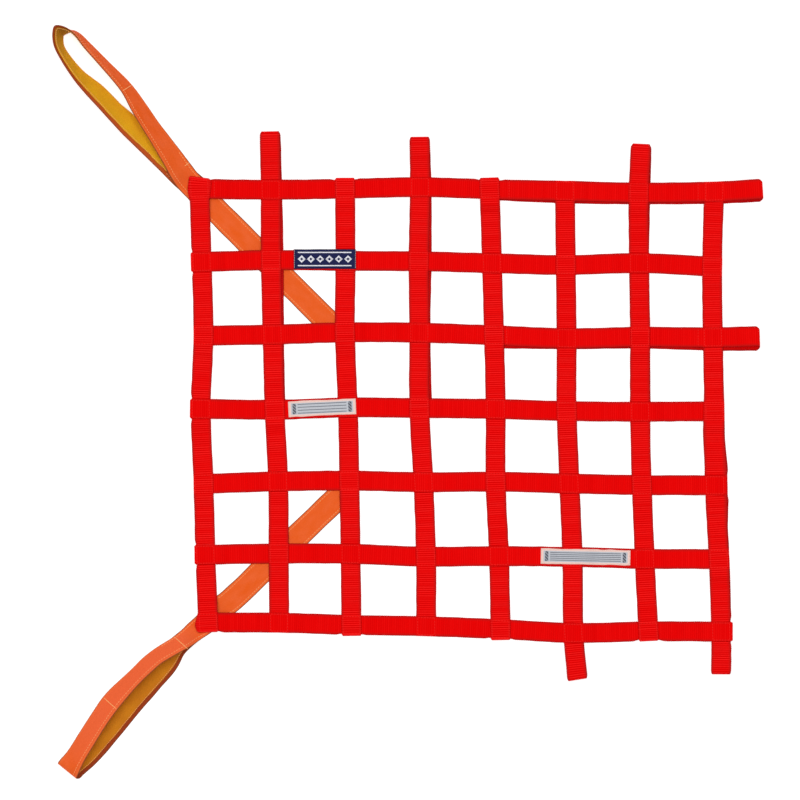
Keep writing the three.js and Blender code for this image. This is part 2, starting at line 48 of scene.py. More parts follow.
# Webbing, as in the part's source
WEBBING_WIDTH = 20
WEBBING_THICKNESS = 1.3
HALF_WEBBING = WEBBING_WIDTH / 2
CORE = WEBBING_THICKNESS / 2
LAYER = 1.6
PLATEAU = 13.5
RAMP = 12
LOOP_INSIDE = 6
LOOP_STRAIGHT = 9
LOOP_SETTLE = 2
WRAP_SLACK = 0.6
HIDDEN_FOLD = 1.5
FLUSH_INSET = 0.5
RUN_INSET = 1
HEM_LENGTH = 19
RETURN_TAIL = 9
CROSSINGS_PASSED = 4

# Handles and tags, as in the part's source
HANDLE_WIDTH = 25
HANDLE_PLY = 1
HANDLE_LAYER = 1.3
LINING_WIDTH = 21.5
LINING_INSET = 0.5
HANDLE_LIFT_NEAR = 21
HANDLE_LIFT_FAR = 29
TAG_THICKNESS = 1
TAG_RAMP = 16
TAG_OVERHANG = 1.5

# Ribs of the webbing
RIB_PITCH = 2.18
RIB_HEIGHT = 0.12
RIB_SHARPNESS = 3
RINGS_PER_RIB = 4
PATH_STEP = 0.4
LARGEST_TURN = math.radians(14)
ARC_STEPS = 36

# Sewing
STITCH_INSET = 1.5
STITCH_PITCH = 2.9
STITCH_FLOAT = 0.76
TAG_SEAM_PITCH = 2.2

# A stitch's ends sink by this share of the thread's radius, and its twist is counted over this
THREAD_SUNK = 0.6
THREAD_TURNS = 3

# How uneven the cloth is: its surface from point to point, and its edges with their wavelength
RIB_STRENGTHS = (0.7, 1.25)
SELVAGE_FLATTER = 0.4
SERRATION = 0.12
YARN_GRAIN = 0.012
PILE_GRAIN = 0.07
TAG_GRAIN = 0.01
TAG_DRAPE = 0.12
TAG_DRAPE_LENGTH = 13
STRAP_EDGE = dict(size=0.16, wavelength=9)
COVER_EDGE = dict(size=0.2, wavelength=14)
TAG_EDGE = dict(size=0.3, wavelength=7)
LINING_RAGGED = 0.35
LINING_SHORT = 0.2
STRAP_EDGE_POWER = 4
EDGE_POWER = 6

UPRIGHTS = [
    dict(name="v1", at=[199.5, 201.7, 203.5, 200.8, 203.6, 205.4, 208.2], start="wrap", end="wrap"),
    dict(name="v2", at=[270.7, 271.0, 272.6, 274.7, 278.1, 278.8, 279.2], start="loop", end="fold"),
    dict(name="v3", at=[345.0, 345.5, 345.0, 347.8, 349.4, 350.6, 351.5], start="wrap", end="wrap"),
    dict(name="v4", at=[420.0, 418.6, 419.3, 419.3, 423.4, 426.0, 426.2], start="loop", end="fold"),
    dict(name="v5", at=[489.6, 492.0, 494.0, 495.7, 495.6, 499.0, 500.5], start="wrap", end="wrap"),
    dict(name="v6", at=[565.0, 565.7, 566.6, 566.5, 569.3, 572.2, 573.2], start="fold", end="loop"),
    dict(name="v7", at=[638.5, 639.0, 639.9, 640.0, 641.8, 644.7, 648.3], start="loop", end="wrap"),
    dict(name="v8", at=[714.0, 712.0, 712.8, 714.2, 714.8, 718.6, 721.0], start="flush", end="loop"),
]
CROSS_STRAPS = [
    dict(name="h1", at=[188.8, 189.8, 188.7, 187.2, 189.3, 190.9, 192.6, 191.6], start="flush", end="loop"),
    dict(name="h2", at=[262.0, 260.1, 260.9, 261.3, 263.2, 265.0, 263.2, 266.5], start="wrap", end="fold"),
    dict(name="h3", at=[335.6, 334.6, 332.4, 332.7, 335.3, 338.2, 336.8, 337.4], start="fold", end="loop"),
    dict(name="h4", at=[408.8, 409.7, 407.5, 408.0, 409.0, 411.1, 411.7, 411.2], start="wrap", end="fold"),
    dict(name="h5", at=[483.8, 481.4, 480.6, 482.2, 481.7, 483.5, 485.1, 485.2], start="fold", end="wrap"),
    dict(name="h6", at=[554.6, 553.5, 553.8, 556.7, 556.0, 557.0, 558.8, 559.0], start="wrap", end="fold"),
    dict(name="h7", at=[622.5, 622.6, 625.0, 626.1, 629.2, 632.8, 631.4, 631.4], start="flush", end="wrap"),
]

# Rod loops. Squeeze is how far each edge draws in at the tip, which rounds the loop's corners.
ROD_LOOPS = [
    dict(strap="v2", tip=131.5, side=269.8, shift_at_tip=0.8, shifts=[1.5, 2.7, 1.5, 0.7], squeeze=1.0),
    dict(strap="v4", tip=137.0, side=419.4, shift_at_tip=0.5, shifts=[1.4, 3.0, 1.2, 3.3], squeeze=0.8),
    dict(strap="v7", tip=144.0, side=640.8, shift_at_tip=0.8, shifts=[1.8, 0.2, 0.3, 0.8], squeeze=1.5),
    dict(strap="h1", tip=762.7, side=188.8, shift_at_tip=3.0, shifts=[2.3, 1.8, 2.5, 0.7], squeeze=1.9),
    dict(strap="h3", tip=759.6, side=336.0, shift_at_tip=4.8, shifts=[3.4, 1.8, 1.0, 3.2], squeeze=1.0),
    dict(strap="v6", tip=679.4, side=577.3, shift_at_tip=0.5, shifts=[0.3, 0.4, 0.2, 0.3], squeeze=0.7),
    dict(strap="v8", tip=674.2, side=720.8, shift_at_tip=0.2, shifts=[0.5, 0.9, 0.8, 0.2], squeeze=0.7),
]
WRAP_SQUEEZE = 0.9

# A wrap draws in the outer edge of the strap that it goes round, and so lies nearly flush with it
WRAP_DRAWN_IN = 2.0
PINCH = 0.9
PINCH_RAMP = 6

# A wrap round a returning leg goes out as far as the leg lies past its strap, less this
WRAP_OVER_RETURN = 1.2

# Ends that aren't square: how far out the end lies, and how much further at the side where w is low
END_SHAPES = [
    dict(strap="v1", where="start", out=0.7, slant=1.6),
    dict(strap="v1", where="end", out=-1.2, slant=0.0),
    dict(strap="v6", where="end", out=0.2, slant=0.7),
    dict(strap="v7", where="end", out=-1.2, slant=0.0),
]
END_SHAPE_REACH = 13

# Places where a strap spreads, or draws in: on its low side or its high one, at this place along it
BULGES = [
    dict(strap="v1", side="low", at=190, reach=13, out=1.9),
    dict(strap="v1", side="high", at=184, reach=17, out=2.2),
    dict(strap="v1", side="low", at=625, reach=14, out=3.0),
    dict(strap="v8", side="low", at=428, reach=44, out=1.5),
    dict(strap="v8", side="high", at=482, reach=55, out=3.0),
    dict(strap="h7", side="low", at=648, reach=22, out=-1.2),
    dict(strap="h7", side="low", at=208, reach=22, out=-1.2),
]

# Painted highlight on the rib crests and painted shade in the grooves, standing in for light from one side,
# so they show more on the uprights than on the cross straps: a scale and an offset
GLINT = {"up": (1.12, 0.0), "across": (0.32, 0.2)}

# The share of a strap's painted edge shade that shows over a crossing, and the mm in which it grows to the
# whole
EDGE_SHADE_OVER_CROSSING = 0.3
EDGE_SHADE_RAMP = 2

# Lines of stitches across a strap, away from its crossings, at this place along it
BAR_STITCHES = [
    dict(strap="h1", along=[214.5, 509.0, 698.0, 705.5]),
    dict(strap="h3", along=[506.5, 698.0]),
]

# Pull handles: both edges of the orange cover, row by row, from the hidden end round the tip and back
HANDLE_COLUMNS = ["low_across", "low_down", "low_height", "high_across", "high_down", "high_height"]
# The pair after the tip row: how much of the loop's colour, partly handling marks and partly painted shading,
# shows round the loop and at the tip
HANDLES = [
    dict(name="upper", lined_rows=(8, 26.4), tip_row=16.5, wear=(0.12, 1.0), rows=[
        [347.3, 323.7, 0.5, 329.7, 341.3, 0.5],
        [279.8, 256.2, 0.5, 262.2, 273.8, 0.5],
        [231.8, 208.2, 0.5, 214.2, 225.8, 0.5],
        [221.0, 197.4, 0.5, 203.4, 215.0, 0.5],
        [213.8, 190.2, 1.8, 196.2, 207.8, 1.8],
        [205.3, 180.7, 1.8, 187.7, 198.3, 1.8],
        [196.4, 171.4, 1.8, 178.6, 189.0, 1.9],
        [190.0, 163.9, 3.0, 172.0, 179.0, 9.0],
        [180.9, 150.3, 2.0, 162.5, 163.0, 15.1],
        [161.0, 124.5, 1.4, 145.3, 134.3, 20.4],
        [147.4, 104.7, 1.2, 132.4, 113.4, 21.8],
        [131.9, 84.6, 0.9, 121.8, 92.6, 23.1],
        [108.7, 61.6, 0.7, 101.3, 67.5, 24.3],
        [89.7, 42.7, 0.5, 84.5, 48.0, 24.7],
        [79.8, 33.5, 0.4, 76.9, 37.4, 25.0],
        [72.2, 30.4, 0.2, 71.4, 31.8, 25.0],
        [66.5, 32.8, 0.2, 64.0, 27.4, 24.6],
        [63.0, 35.6, 0.3, 55.4, 26.6, 23.0],
        [62.2, 40.0, 0.3, 53.4, 33.4, 22.9],
        [63.2, 46.8, 0.2, 54.9, 46.4, 23.5],
        [69.2, 56.4, 0.2, 61.8, 60.7, 23.2],
        [83.5, 72.4, 0.3, 74.6, 80.4, 21.8],
        [103.6, 86.9, 0.4, 90.4, 99.6, 18.1],
        [121.0, 103.8, 0.4, 106.2, 117.5, 17.8],
        [134.8, 114.7, 0.5, 118.2, 131.2, 14.1],
        [153.0, 130.8, 0.5, 135.2, 148.2, 11.6],
        [175.0, 150.0, 0.5, 156.0, 168.4, 6.4],
        [193.0, 168.5, 0.5, 174.6, 186.4, 1.0],
        [206.5, 181.0, 0.5, 189.5, 198.5, 0.5],
        [211.0, 186.0, 0.5, 194.0, 203.5, 0.5],
    ]),
    dict(name="lower", lined_rows=(7.7, 26.2), tip_row=16.5, wear=(0.9, 0.1), rows=[
        [338.3, 479.5, 0.5, 355.7, 497.5, 0.5],
        [270.8, 544.3, 0.5, 288.2, 562.3, 0.5],
        [219.3, 593.7, 0.5, 236.7, 611.7, 0.5],
        [207.3, 600.9, 0.5, 224.7, 618.9, 0.5],
        [197.7, 612.7, 1.8, 215.1, 630.7, 1.8],
        [186.0, 623.6, 1.9, 201.4, 640.8, 2.3],
        [180.9, 629.4, 3.0, 195.1, 644.4, 8.0],
        [173.4, 635.5, 3.6, 188.7, 648.5, 16.0],
        [153.2, 649.1, 1.6, 162.2, 663.3, 20.1],
        [141.7, 658.7, 1.5, 153.4, 670.4, 20.2],
        [131.5, 668.9, 1.5, 142.3, 681.0, 20.5],
        [120.5, 679.2, 1.5, 132.2, 692.0, 19.4],
        [104.0, 695.7, 1.5, 118.8, 708.2, 17.1],
        [93.1, 711.4, 1.6, 109.5, 721.2, 17.7],
        [79.0, 733.0, 1.8, 95.7, 742.9, 17.6],
        [66.5, 752.5, 3.2, 83.4, 763.7, 17.5],
        [61.2, 760.4, 4.9, 78.0, 772.9, 12.6],
        [58.9, 763.8, 2.7, 76.3, 777.6, 6.6],
        [61.6, 761.6, 0.5, 80.5, 777.8, 1.6],
        [67.0, 756.2, 0.5, 83.0, 775.3, 0.8],
        [79.8, 744.7, 0.5, 95.2, 764.2, 0.5],
        [96.1, 726.1, 0.5, 115.1, 742.0, 0.5],
        [121.0, 695.7, 0.5, 140.6, 710.9, 0.5],
        [142.0, 671.7, 0.5, 160.8, 687.4, 0.5],
        [151.8, 660.9, 0.5, 171.0, 675.3, 0.5],
        [158.3, 653.2, 0.5, 178.7, 665.0, 0.5],
        [168.5, 640.8, 0.5, 184.5, 654.4, 0.5],
        [183.5, 627.8, 0.5, 198.0, 642.0, 0.5],
        [196.3, 618.0, 0.5, 210.8, 632.0, 0.5],
    ]),
]

# Where each handle lifts the straps above it: from and to, across and down
HANDLE_RUNS = [
    dict(start=(338.5, 332.5), end=(187, 181)),
    dict(start=(202.5, 194.8), end=(187, 181)),
    dict(start=(347, 488.5), end=(196, 634)),
    dict(start=(201.3, 623.5), end=(190, 634)),
]

# Where a handle is gathered in, this much on each side, round this row
GATHERS = [
    dict(handle="lower", row=5.8, reach=3.2, by=2.6),
    dict(handle="lower", row=26.8, reach=2.6, by=2.7),
]

# Single long stitches across a cover: its row and its two ends, from -1 at the high edge to 1 at the low one
CROSS_STITCHES = [
    dict(handle="upper", row=11.0, ends=(-0.75, 0.85)),
    dict(handle="upper", row=7.1, ends=(0.5, 0.95)),
    dict(handle="lower", row=7.0, ends=(-0.95, 0.9)),
    dict(handle="lower", row=12.1, ends=(-0.9, 0.9)),
]
COVER_SEAM_INSET = 3.0
SEAM_PULL = 0.14
SEAM_PULL_REACH = 0.9
LINING_SEAM_INSET = 0.9
LINING_SEAM_PITCH = 2.0
LINING_TRIM = 0.9

# The row where the loop's handling marks and painted shading start, the rows in which they grow, and how far
# the tip's own share reaches
WEAR_AND_SHADING_FROM_ROW = 4
WEAR_AND_SHADING_RAMP = 3
WEAR_AND_SHADING_TIP_REACH = 3.6

# Steps of a handle's curve, and how far its plies and its seams sink into each other
ROW_STEPS = 24
HANDLE_STEP = 1.2
SMOOTHED_OVER = 13
LINING_SETTLE = 0.7
PLY_BITE = 0.1

# How far the lining's middle lies from the cover's, and where the seam of its high side is on the cover
LINING_OFFSET = (HANDLE_WIDTH - LINING_WIDTH) / 2 - LINING_INSET
LINING_LINE = LINING_OFFSET + LINING_TRIM + LINING_SEAM_INSET - LINING_WIDTH / 2
LINING_LINE_LEAD = 3.4

# Tags: how far down the table their middle line lies at both ends, and the rules of the pale ones
TAGS = [
    dict(name="woven_tag", strap="h2", start=293.9, end=355.9, middle=[259.1, 259.1], height=19.4),
    dict(
        name="write_on_tag", strap="h4", start=288.4, end=355.9, middle=[409.3, 406.2], height=15.7,
        rules=[-4.4, -1.5, 1.5, 4.4],
    ),
    dict(
        name="long_tag", strap="h6", start=540.8, end=630.2, middle=[555.9, 557.8], height=15.2, over="v6",
        rules=[-3.8, -1.9, 0.0, 1.9, 3.8],
    ),
]
TAG_STEP = 0.9
PALE_BORDER = 2.1
RULE_HALF = 0.38

# The woven tag's design, and the short stitches over its edges
DIAMOND_COUNT = 6
DIAMOND_HALF = 3.6
DIAMOND_POINT = 0.35
DIAMOND_BAND = 2.5
DESIGN_MARGIN = 4.2
DESIGN_LINES_AT = (-6.6, 6.6)
DESIGN_LINE_HALF = 0.7
SATIN_STEP = 0.55
WHIP_PITCH = 1.1
WHIP_REACH = 1.3
WHIP_OVERHANG = 0.25


# Curves and tables

def ease(t):
    t = np.clip(t, 0, 1)
    return t * t * (3 - 2 * t)


def mix(a, b, t):
    return a + (b - a) * t


def near(values, at, reach):
    """1 where values are at this place, down to 0 where they are as far from it as reach."""
    return 1 - ease(np.abs(values - at) / reach)


def unit(vectors):
    return vectors / np.linalg.norm(vectors, axis=-1, keepdims=True)


def smooth_through(knots):
    """A smooth curve through knots (position, value), straight on past both ends."""
    at, value = np.array(sorted(knots), float).T
    count = len(at)
    before = np.maximum(np.arange(count) - 1, 0)
    after = np.minimum(np.arange(count) + 1, count - 1)
    slopes = (value[after] - value[before]) / (at[after] - at[before])

    def curve(u):
        u = np.asarray(u, float)
        k = np.clip(np.searchsorted(at, u, side="right") - 1, 0, count - 2)
        span = at[k + 1] - at[k]
        t = np.clip((u - at[k]) / span, 0, 1)
        bend = t * (1 - t) * ((1 - t) * slopes[k] - t * slopes[k + 1])
        inside = mix(value[k], value[k + 1], ease(t)) + span * bend
        past_start = np.minimum(u - at[0], 0) * slopes[0]
        past_end = np.maximum(u - at[-1], 0) * slopes[-1]
        return inside + past_start + past_end

    return curve


def place(across, down, height):
    """The part's own frame from places on the laying-out table."""
    return np.stack(np.broadcast_arrays(across - ORIGIN.across, ORIGIN.down - down, height), axis=-1)


def handle_lift(across, down):
    """How much the handles beneath raise a strap whose centre line passes here."""
    spot = np.stack(np.broadcast_arrays(across, down), axis=-1).astype(float)
    lift = 0
    for run in HANDLE_RUNS:
        start = np.array(run["start"], float)
        along = np.array(run["end"], float) - start
        t = np.clip((spot - start) @ along / (along @ along), 0, 1)
        away = np.linalg.norm(spot - start - t[..., None] * along, axis=-1)
        clear = ease((away - HANDLE_LIFT_NEAR) / (HANDLE_LIFT_FAR - HANDLE_LIFT_NEAR))
        lift = lift + HANDLE_LAYER * (1 - clear)
    return lift


def wobble(rng, positions, wavelength):
    """Smooth unevenness from -1 to 1 along positions, about this long from bump to bump."""
    count = int((positions[-1] - positions[0]) / wavelength) + 4
    knots = positions[0] + wavelength * (np.arange(count) - 1)
    values = rng.uniform(-1, 1, count)
    k = np.clip(np.searchsorted(knots, positions, side="right") - 1, 0, count - 2)
    return mix(values[k], values[k + 1], ease((positions - knots[k]) / wavelength))


# Straps: layout

def loop_of(strap):
    return next((loop for loop in ROD_LOOPS if loop["strap"] == strap["name"]), None)


def from_loop_end(strap, k):
    return k if strap["start"] == "loop" else len(strap["at"]) - 1 - k


def runs_back_under(strap, k):
    return loop_of(strap) is not None and from_loop_end(strap, k) < CROSSINGS_PASSED


def end_at(strap, k):
    if k == 0:
        return strap["start"]
    return strap["end"] if k == len(strap["at"]) - 1 else None


def pile_at(upright, cross):
    """The pile at a crossing, from the surface up: each layer's underside without the handles' lift."""
    straps = {"up": UPRIGHTS[upright], "across": CROSS_STRAPS[cross]}
    index = {"up": cross, "across": upright}
    over = "up" if (upright + cross) % 2 == 0 else "across"
    under = "across" if over == "up" else "up"
    layers = []
    if end_at(straps[over], index[over]) == "wrap":
        layers.append((over, "hem"))
    if runs_back_under(straps["across"], index["across"]):
        layers.append(("across", "return"))
    if runs_back_under(straps["up"], index["up"]):
        layers.append(("up", "return"))
    if end_at(straps[under], index[under]) == "fold":
        layers.append((under, "hem"))
    layers += [(under, "strap"), (over, "strap")]
    return {layer: k * LAYER for k, layer in enumerate(layers)}


def height_along(places, levels, rests):
    """Height along a run: level at each crossing, and down to rest between two of them."""
    places, levels, rests = (np.array(values, float) for values in (places, levels, rests))

    def height(u):
        u = np.asarray(u, float)
        k = np.clip(np.searchsorted(places, u), 1, len(places) - 1)
        fall = 1 - ease((u - places[k - 1] - PLATEAU) / RAMP)
        rise = 1 - ease((places[k] - PLATEAU - u) / RAMP)
        rest = rests[k - 1]
        between = rest + (levels[k - 1] - rest) * fall + (levels[k] - rest) * rise
        past = np.maximum(places[0] - u, u - places[-1])
        beyond = np.where(u < places[0], levels[0], levels[-1]) * (1 - ease((past - PLATEAU) / RAMP))
        return np.where(past > 0, beyond, between)

    return height


class Layout:
    """A strap with its crossings, seen along its own length: u runs along it and w to its side."""

    def __init__(self, kind, number):
        self.kind, self.number, self.upright = kind, number, kind == "up"
        self.strap = (UPRIGHTS if self.upright else CROSS_STRAPS)[number]
        self.others = CROSS_STRAPS if self.upright else UPRIGHTS
        self.loop = loop_of(self.strap)
        self.crossings = [self.crossing(k) for k in range(len(self.strap["at"]))]
        knots = [(crossing.u, crossing.w) for crossing in self.crossings]
        if self.loop:
            knots.append((self.loop["tip"], self.loop["side"]))
        self.middle = smooth_through(knots)
        levels = [crossing.strap for crossing in self.crossings]
        rests = [
            LAYER if runs_back_under(self.strap, k) and runs_back_under(self.strap, k + 1) else 0
            for k in range(len(levels) - 1)
        ]
        self.level = height_along([crossing.u for crossing in self.crossings], levels, rests)

    def crossing(self, k):
        pile = pile_at(self.number, k) if self.upright else pile_at(k, self.number)
        other = self.others[k]
        passed = runs_back_under(other, self.number)
        edge_shift = loop_of(other)["shifts"][from_loop_end(other, self.number)] if passed else 0
        return SimpleNamespace(
            u=other["at"][self.number],
            w=self.strap["at"][k],
            edge_shift=edge_shift,
            strap=pile[(self.kind, "strap")],
            back=pile.get((self.kind, "return")),
            hem=pile.get((self.kind, "hem")),
        )

    def spot(self, u, shift=0):
        """Across and down on the table."""
        w = self.middle(u) + shift
        return (w, u) if self.upright else (u, w)

    def side(self, u):
        slope = (self.middle(u + 1) - self.middle(u - 1)) / 2
        first, second = (np.ones_like(slope), slope) if self.upright else (slope, np.ones_like(slope))
        return unit(np.stack([first, second, np.zeros_like(slope)], axis=-1))

    def lift(self, u):
        return handle_lift(*self.spot(u))

    def height(self, u):
        """The underside of the strap."""
        return self.level(u) + self.lift(u)


LAYOUTS = {
    **{strap["name"]: Layout("up", number) for number, strap in enumerate(UPRIGHTS)},
    **{strap["name"]: Layout("across", number) for number, strap in enumerate(CROSS_STRAPS)},
}


# Straps: paths. A path has a row for each point: u, height of the middle of the webbing, sideways shift
# and how far each edge draws in.

def path_rows(u, height, shift=0.0, squeeze=0.0):
    return np.stack(np.broadcast_arrays(u, height, shift, squeeze), axis=-1).astype(float)


def between(start, end):
    return np.linspace(start, end, max(2, math.ceil(abs(end - start) / PATH_STEP)))


def turn(u, low, high, outward, squeeze):
    """Half a turn in the upright plane, from an end's high leg down to its low one."""
    radius = (high - low) / 2
    part = np.arange(ARC_STEPS + 1) / ARC_STEPS
    angle = np.pi * (0.5 - part)
    drawn_in = squeeze * np.cos(angle) ** 2
    return path_rows(u + outward * radius * np.cos(angle), low + radius * (1 + np.sin(angle)), 0, drawn_in)


def folded_end(layout, kind, outward, edge):
    """An end that wraps round the edge strap, or that is turned under itself."""
    rim = edge.u + outward * HALF_WEBBING
    low, high = (level + layout.lift(edge.u) + CORE for level in (edge.hem, edge.strap))
    proud = edge.edge_shift if outward > 0 else 0
    wrapped = max(proud - WRAP_OVER_RETURN, 0) + WRAP_SLACK - WRAP_DRAWN_IN
    u = rim + outward * (wrapped if kind == "wrap" else -HIDDEN_FOLD)
    arc = turn(u, low, high, outward, WRAP_SQUEEZE)
    return np.vstack([arc, path_rows(between(u, rim - outward * HEM_LENGTH)[1:], low)])


def loop_end(layout, outward):
    """A rod loop: up to the loop's height, round the tip, and back behind four crossings."""
    loop = layout.loop
    low, high = CORE, CORE + LOOP_INSIDE + WEBBING_THICKNESS
    tip_centre = loop["tip"] - outward * ((high - low) / 2 + CORE)
    passed = (layout.crossings if outward < 0 else layout.crossings[::-1])[:CROSSINGS_PASSED]
    ramp_start = passed[0].u + outward * PLATEAU
    ramp_end = tip_centre - outward * LOOP_STRAIGHT
    up = between(ramp_start, ramp_end)
    climb = ease((up - ramp_start) / (ramp_end - ramp_start))
    upper = path_rows(up, mix(layout.height(ramp_start) + CORE, high, climb))
    straight = path_rows(between(ramp_end, tip_centre)[1:-1], high)
    arc = turn(tip_centre, low, high, outward, loop["squeeze"])
    arc[:, 2] = loop["shift_at_tip"] * ease(np.linspace(0, 1, len(arc)))
    knots = [(loop["tip"], loop["shift_at_tip"])]
    knots += [(crossing.u, shift) for crossing, shift in zip(passed, loop["shifts"])]
    shift_at = smooth_through(knots)
    ordered = sorted(passed, key=lambda crossing: crossing.u)
    level = height_along([c.u for c in ordered], [c.back for c in ordered], [0] * (len(ordered) - 1))
    back = between(tip_centre - outward * LOOP_SETTLE, passed[-1].u - outward * RETURN_TAIL)
    returning = path_rows(back, level(back) + layout.lift(back) + CORE, shift_at(back))
    return np.vstack([upper, straight, arc, returning])


def strap_end(layout, where):
    kind = layout.strap[where]
    outward = -1 if where == "start" else 1
    edge = layout.crossings[0 if where == "start" else -1]
    if kind == "flush":
        u = edge.u + outward * (HALF_WEBBING - FLUSH_INSET)
        return path_rows([u], layout.height(u) + CORE)
    if kind == "loop":
        return loop_end(layout, outward)
    return folded_end(layout, kind, outward, edge)


def reach_of(kind):
    if kind == "loop":
        return PLATEAU - 2 * RUN_INSET
    return HALF_WEBBING - RUN_INSET - (HIDDEN_FOLD if kind == "fold" else 0)


def strap_path(layout):
    """The whole strap as one path: end, run and end."""
    start = layout.crossings[0].u - reach_of(layout.strap["start"])
    end = layout.crossings[-1].u + reach_of(layout.strap["end"])
    u = between(start, end)
    run = path_rows(u, layout.height(u) + CORE)
    return np.vstack([strap_end(layout, "start")[::-1], run, strap_end(layout, "end")])


# Ribbons

def lengths_along(points):
    return np.concatenate([[0], np.cumsum(np.linalg.norm(np.diff(points, axis=0), axis=1))])


def resampled(values, at, places):
    """Rows of values at new places along, by straight lines between the old ones."""
    return np.stack([np.interp(places, at, column) for column in values.T], axis=-1)


def even_places(at, directions, step):
    """Places along a path at even steps, with more where it turns sharply."""
    places = np.linspace(0, at[-1], max(2, round(at[-1] / step) + 1))
    way = unit(resampled(directions, at, places))
    bend = np.arccos(np.clip((way[1:] * way[:-1]).sum(axis=1), -1, 1))
    pieces = np.maximum(1, np.ceil(bend / LARGEST_TURN)).astype(int)
    finer = [np.linspace(a, b, n, endpoint=False) for a, b, n in zip(places, places[1:], pieces)]
    return np.concatenate([*finer, [places[-1]]])


def spine_from(points, sides, step, extra=None):
    """A ribbon's middle line at even steps: centre, side, face and length along, with extra columns."""
    at = lengths_along(points)
    keep = np.concatenate([[True], np.diff(at) > 1e-6])
    at, points, sides = at[keep], points[keep], sides[keep]
    directions = unit(np.gradient(points, at, axis=0))
    places = even_places(at, directions, step)
    centre = resampled(points, at, places)
    side = unit(resampled(sides, at, places))
    way = unit(resampled(directions, at, places))
    face = unit(np.cross(way, side))
    more = None if extra is None else resampled(extra[keep], at, places)
    return SimpleNamespace(centre=centre, side=side, face=face, along=places, extra=more)


def tube_quads(rings, corners):
    """The side faces of a tube that is made of rings of corners."""
    ring, corner = np.meshgrid(np.arange(rings - 1), np.arange(corners), indexing="ij")
    here, beyond = ring * corners, (ring + 1) * corners
    after = (corner + 1) % corners
    return np.stack([here + corner, here + after, beyond + after, beyond + corner], axis=-1).reshape(-1, 4)


def mesh_from(name, points, faces, attributes):
    """A smooth mesh from points in mm, with a number or a vector at each point for each attribute."""
    mesh = bpy.data.meshes.new(name)
    mesh.from_pydata((points.reshape(-1, 3) * MM).tolist(), [], faces)
    for key, values in attributes.items():
        kind, field = ("FLOAT_VECTOR", "vector") if key == "weave" else ("FLOAT", "value")
        layer = mesh.attributes.new(key, kind, "POINT")
        layer.data.foreach_set(field, values.astype(np.float32).ravel())
    mesh.shade_smooth()
    return mesh


def grid_mesh(name, points, attributes):
    """A closed tube from rings of points, with both ends capped. Points is rings by corners by 3, in mm."""
    rings, corners, _ = points.shape
    quads = tube_quads(rings, corners)
    a, b, c, d = (points.reshape(-1, 3)[quads[:, k]] for k in range(4))
    volume = np.einsum("ij,ij->", a, np.cross(b, c)) + np.einsum("ij,ij->", a, np.cross(c, d))
    first = list(range(corners))[::-1]
    last = list(range((rings - 1) * corners, rings * corners))
    faces = [*quads.tolist(), first, last]
    return mesh_from(name, points, faces if volume > 0 else [face[::-1] for face in faces], attributes)


def linked(name, data):
    """A new object in the scene."""
    obj = bpy.data.objects.new(name, data)
    bpy.context.scene.collection.objects.link(obj)
    return obj


def add_object(name, mesh, material):
    obj = linked(name, mesh)
    mesh.materials.append(material)
    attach(obj, "root")
    return obj


def ribbon_points(spine, w, h):
    sideways = spine.side[:, None, :] * w[..., None]
    return spine.centre[:, None, :] + sideways + spine.face[:, None, :] * h[..., None]


class Ring:
    """A ribbon's section: corners across the top, an edge, corners below and the other edge."""

    def __init__(self, half_width, thickness, top, bottom, roll=0.25, shoulder=0.75):
        reach = half_width - roll
        rows = []
        for inner, face in ((top, 1), (bottom, -1)):
            line = [reach, *inner, *(-w for w in reversed(inner) if w), -reach]
            levels = [shoulder, *[1] * (len(line) - 2), shoulder]
            rows += [(face * w, face * thickness / 2 * level, face) for w, level in zip(line, levels)]
            rows.append((-face * half_width, 0, 0))
        self.w, self.h, self.face = np.array(rows, float).T
        self.half_width = half_width
        self.selvage = (np.abs(self.w) >= reach - 1e-9).astype(float)


STRAP_RING = Ring(HALF_WEBBING, WEBBING_THICKNESS, top=[9.1, 6.0, 3.0, 0.0], bottom=[5.0, 0.0], roll=0.35)
COVER_RING = Ring(
    HANDLE_WIDTH / 2, HANDLE_PLY,
    top=[11.5, 10.3, 9.5, 8.7, 6.0, 3.0, 0.0], bottom=[11.5, 9.5, 6.0, 3.0, 0.0], roll=0.45,
)
LINING_CORNERS = [9.9, 8.4, 6.8, 5.1, 3.4, 1.7, 0.0]
LINING_RING = Ring(LINING_WIDTH / 2, HANDLE_PLY, top=LINING_CORNERS, bottom=LINING_CORNERS)


def edge_waves(rng, along, size, wavelength):
    """Unevenness of a ribbon's two edges, one after the other."""
    return [size * wobble(rng, along, wavelength)[:, None] for _ in range(2)]


def edge_push(ring, power, low, high):
    """How far each corner moves when the low and the high edge move out, mostly near them."""
    side_of = np.sign(ring.w)
    near_edge = (np.abs(ring.w) / ring.half_width) ** power
    return side_of * near_edge * (low * (side_of < 0) + high * (side_of > 0))


def weave_on(ring, along, third):
    """The weave attribute: mm across, mm along, and the level of the rib, which on the webbing sets its
    painted highlight and shade, or the sign of the face.
    """
    shape = (len(along), len(ring.w))
    return np.stack([np.broadcast_to(values, shape) for values in (ring.w, along[:, None], third)], axis=-1)


def rib_at(along, pitch):
    """1 on a rib's crest and -1 in the narrow groove between two ribs."""
    return 1 - 2 * np.abs(np.sin(np.pi * along / pitch)) ** RIB_SHARPNESS


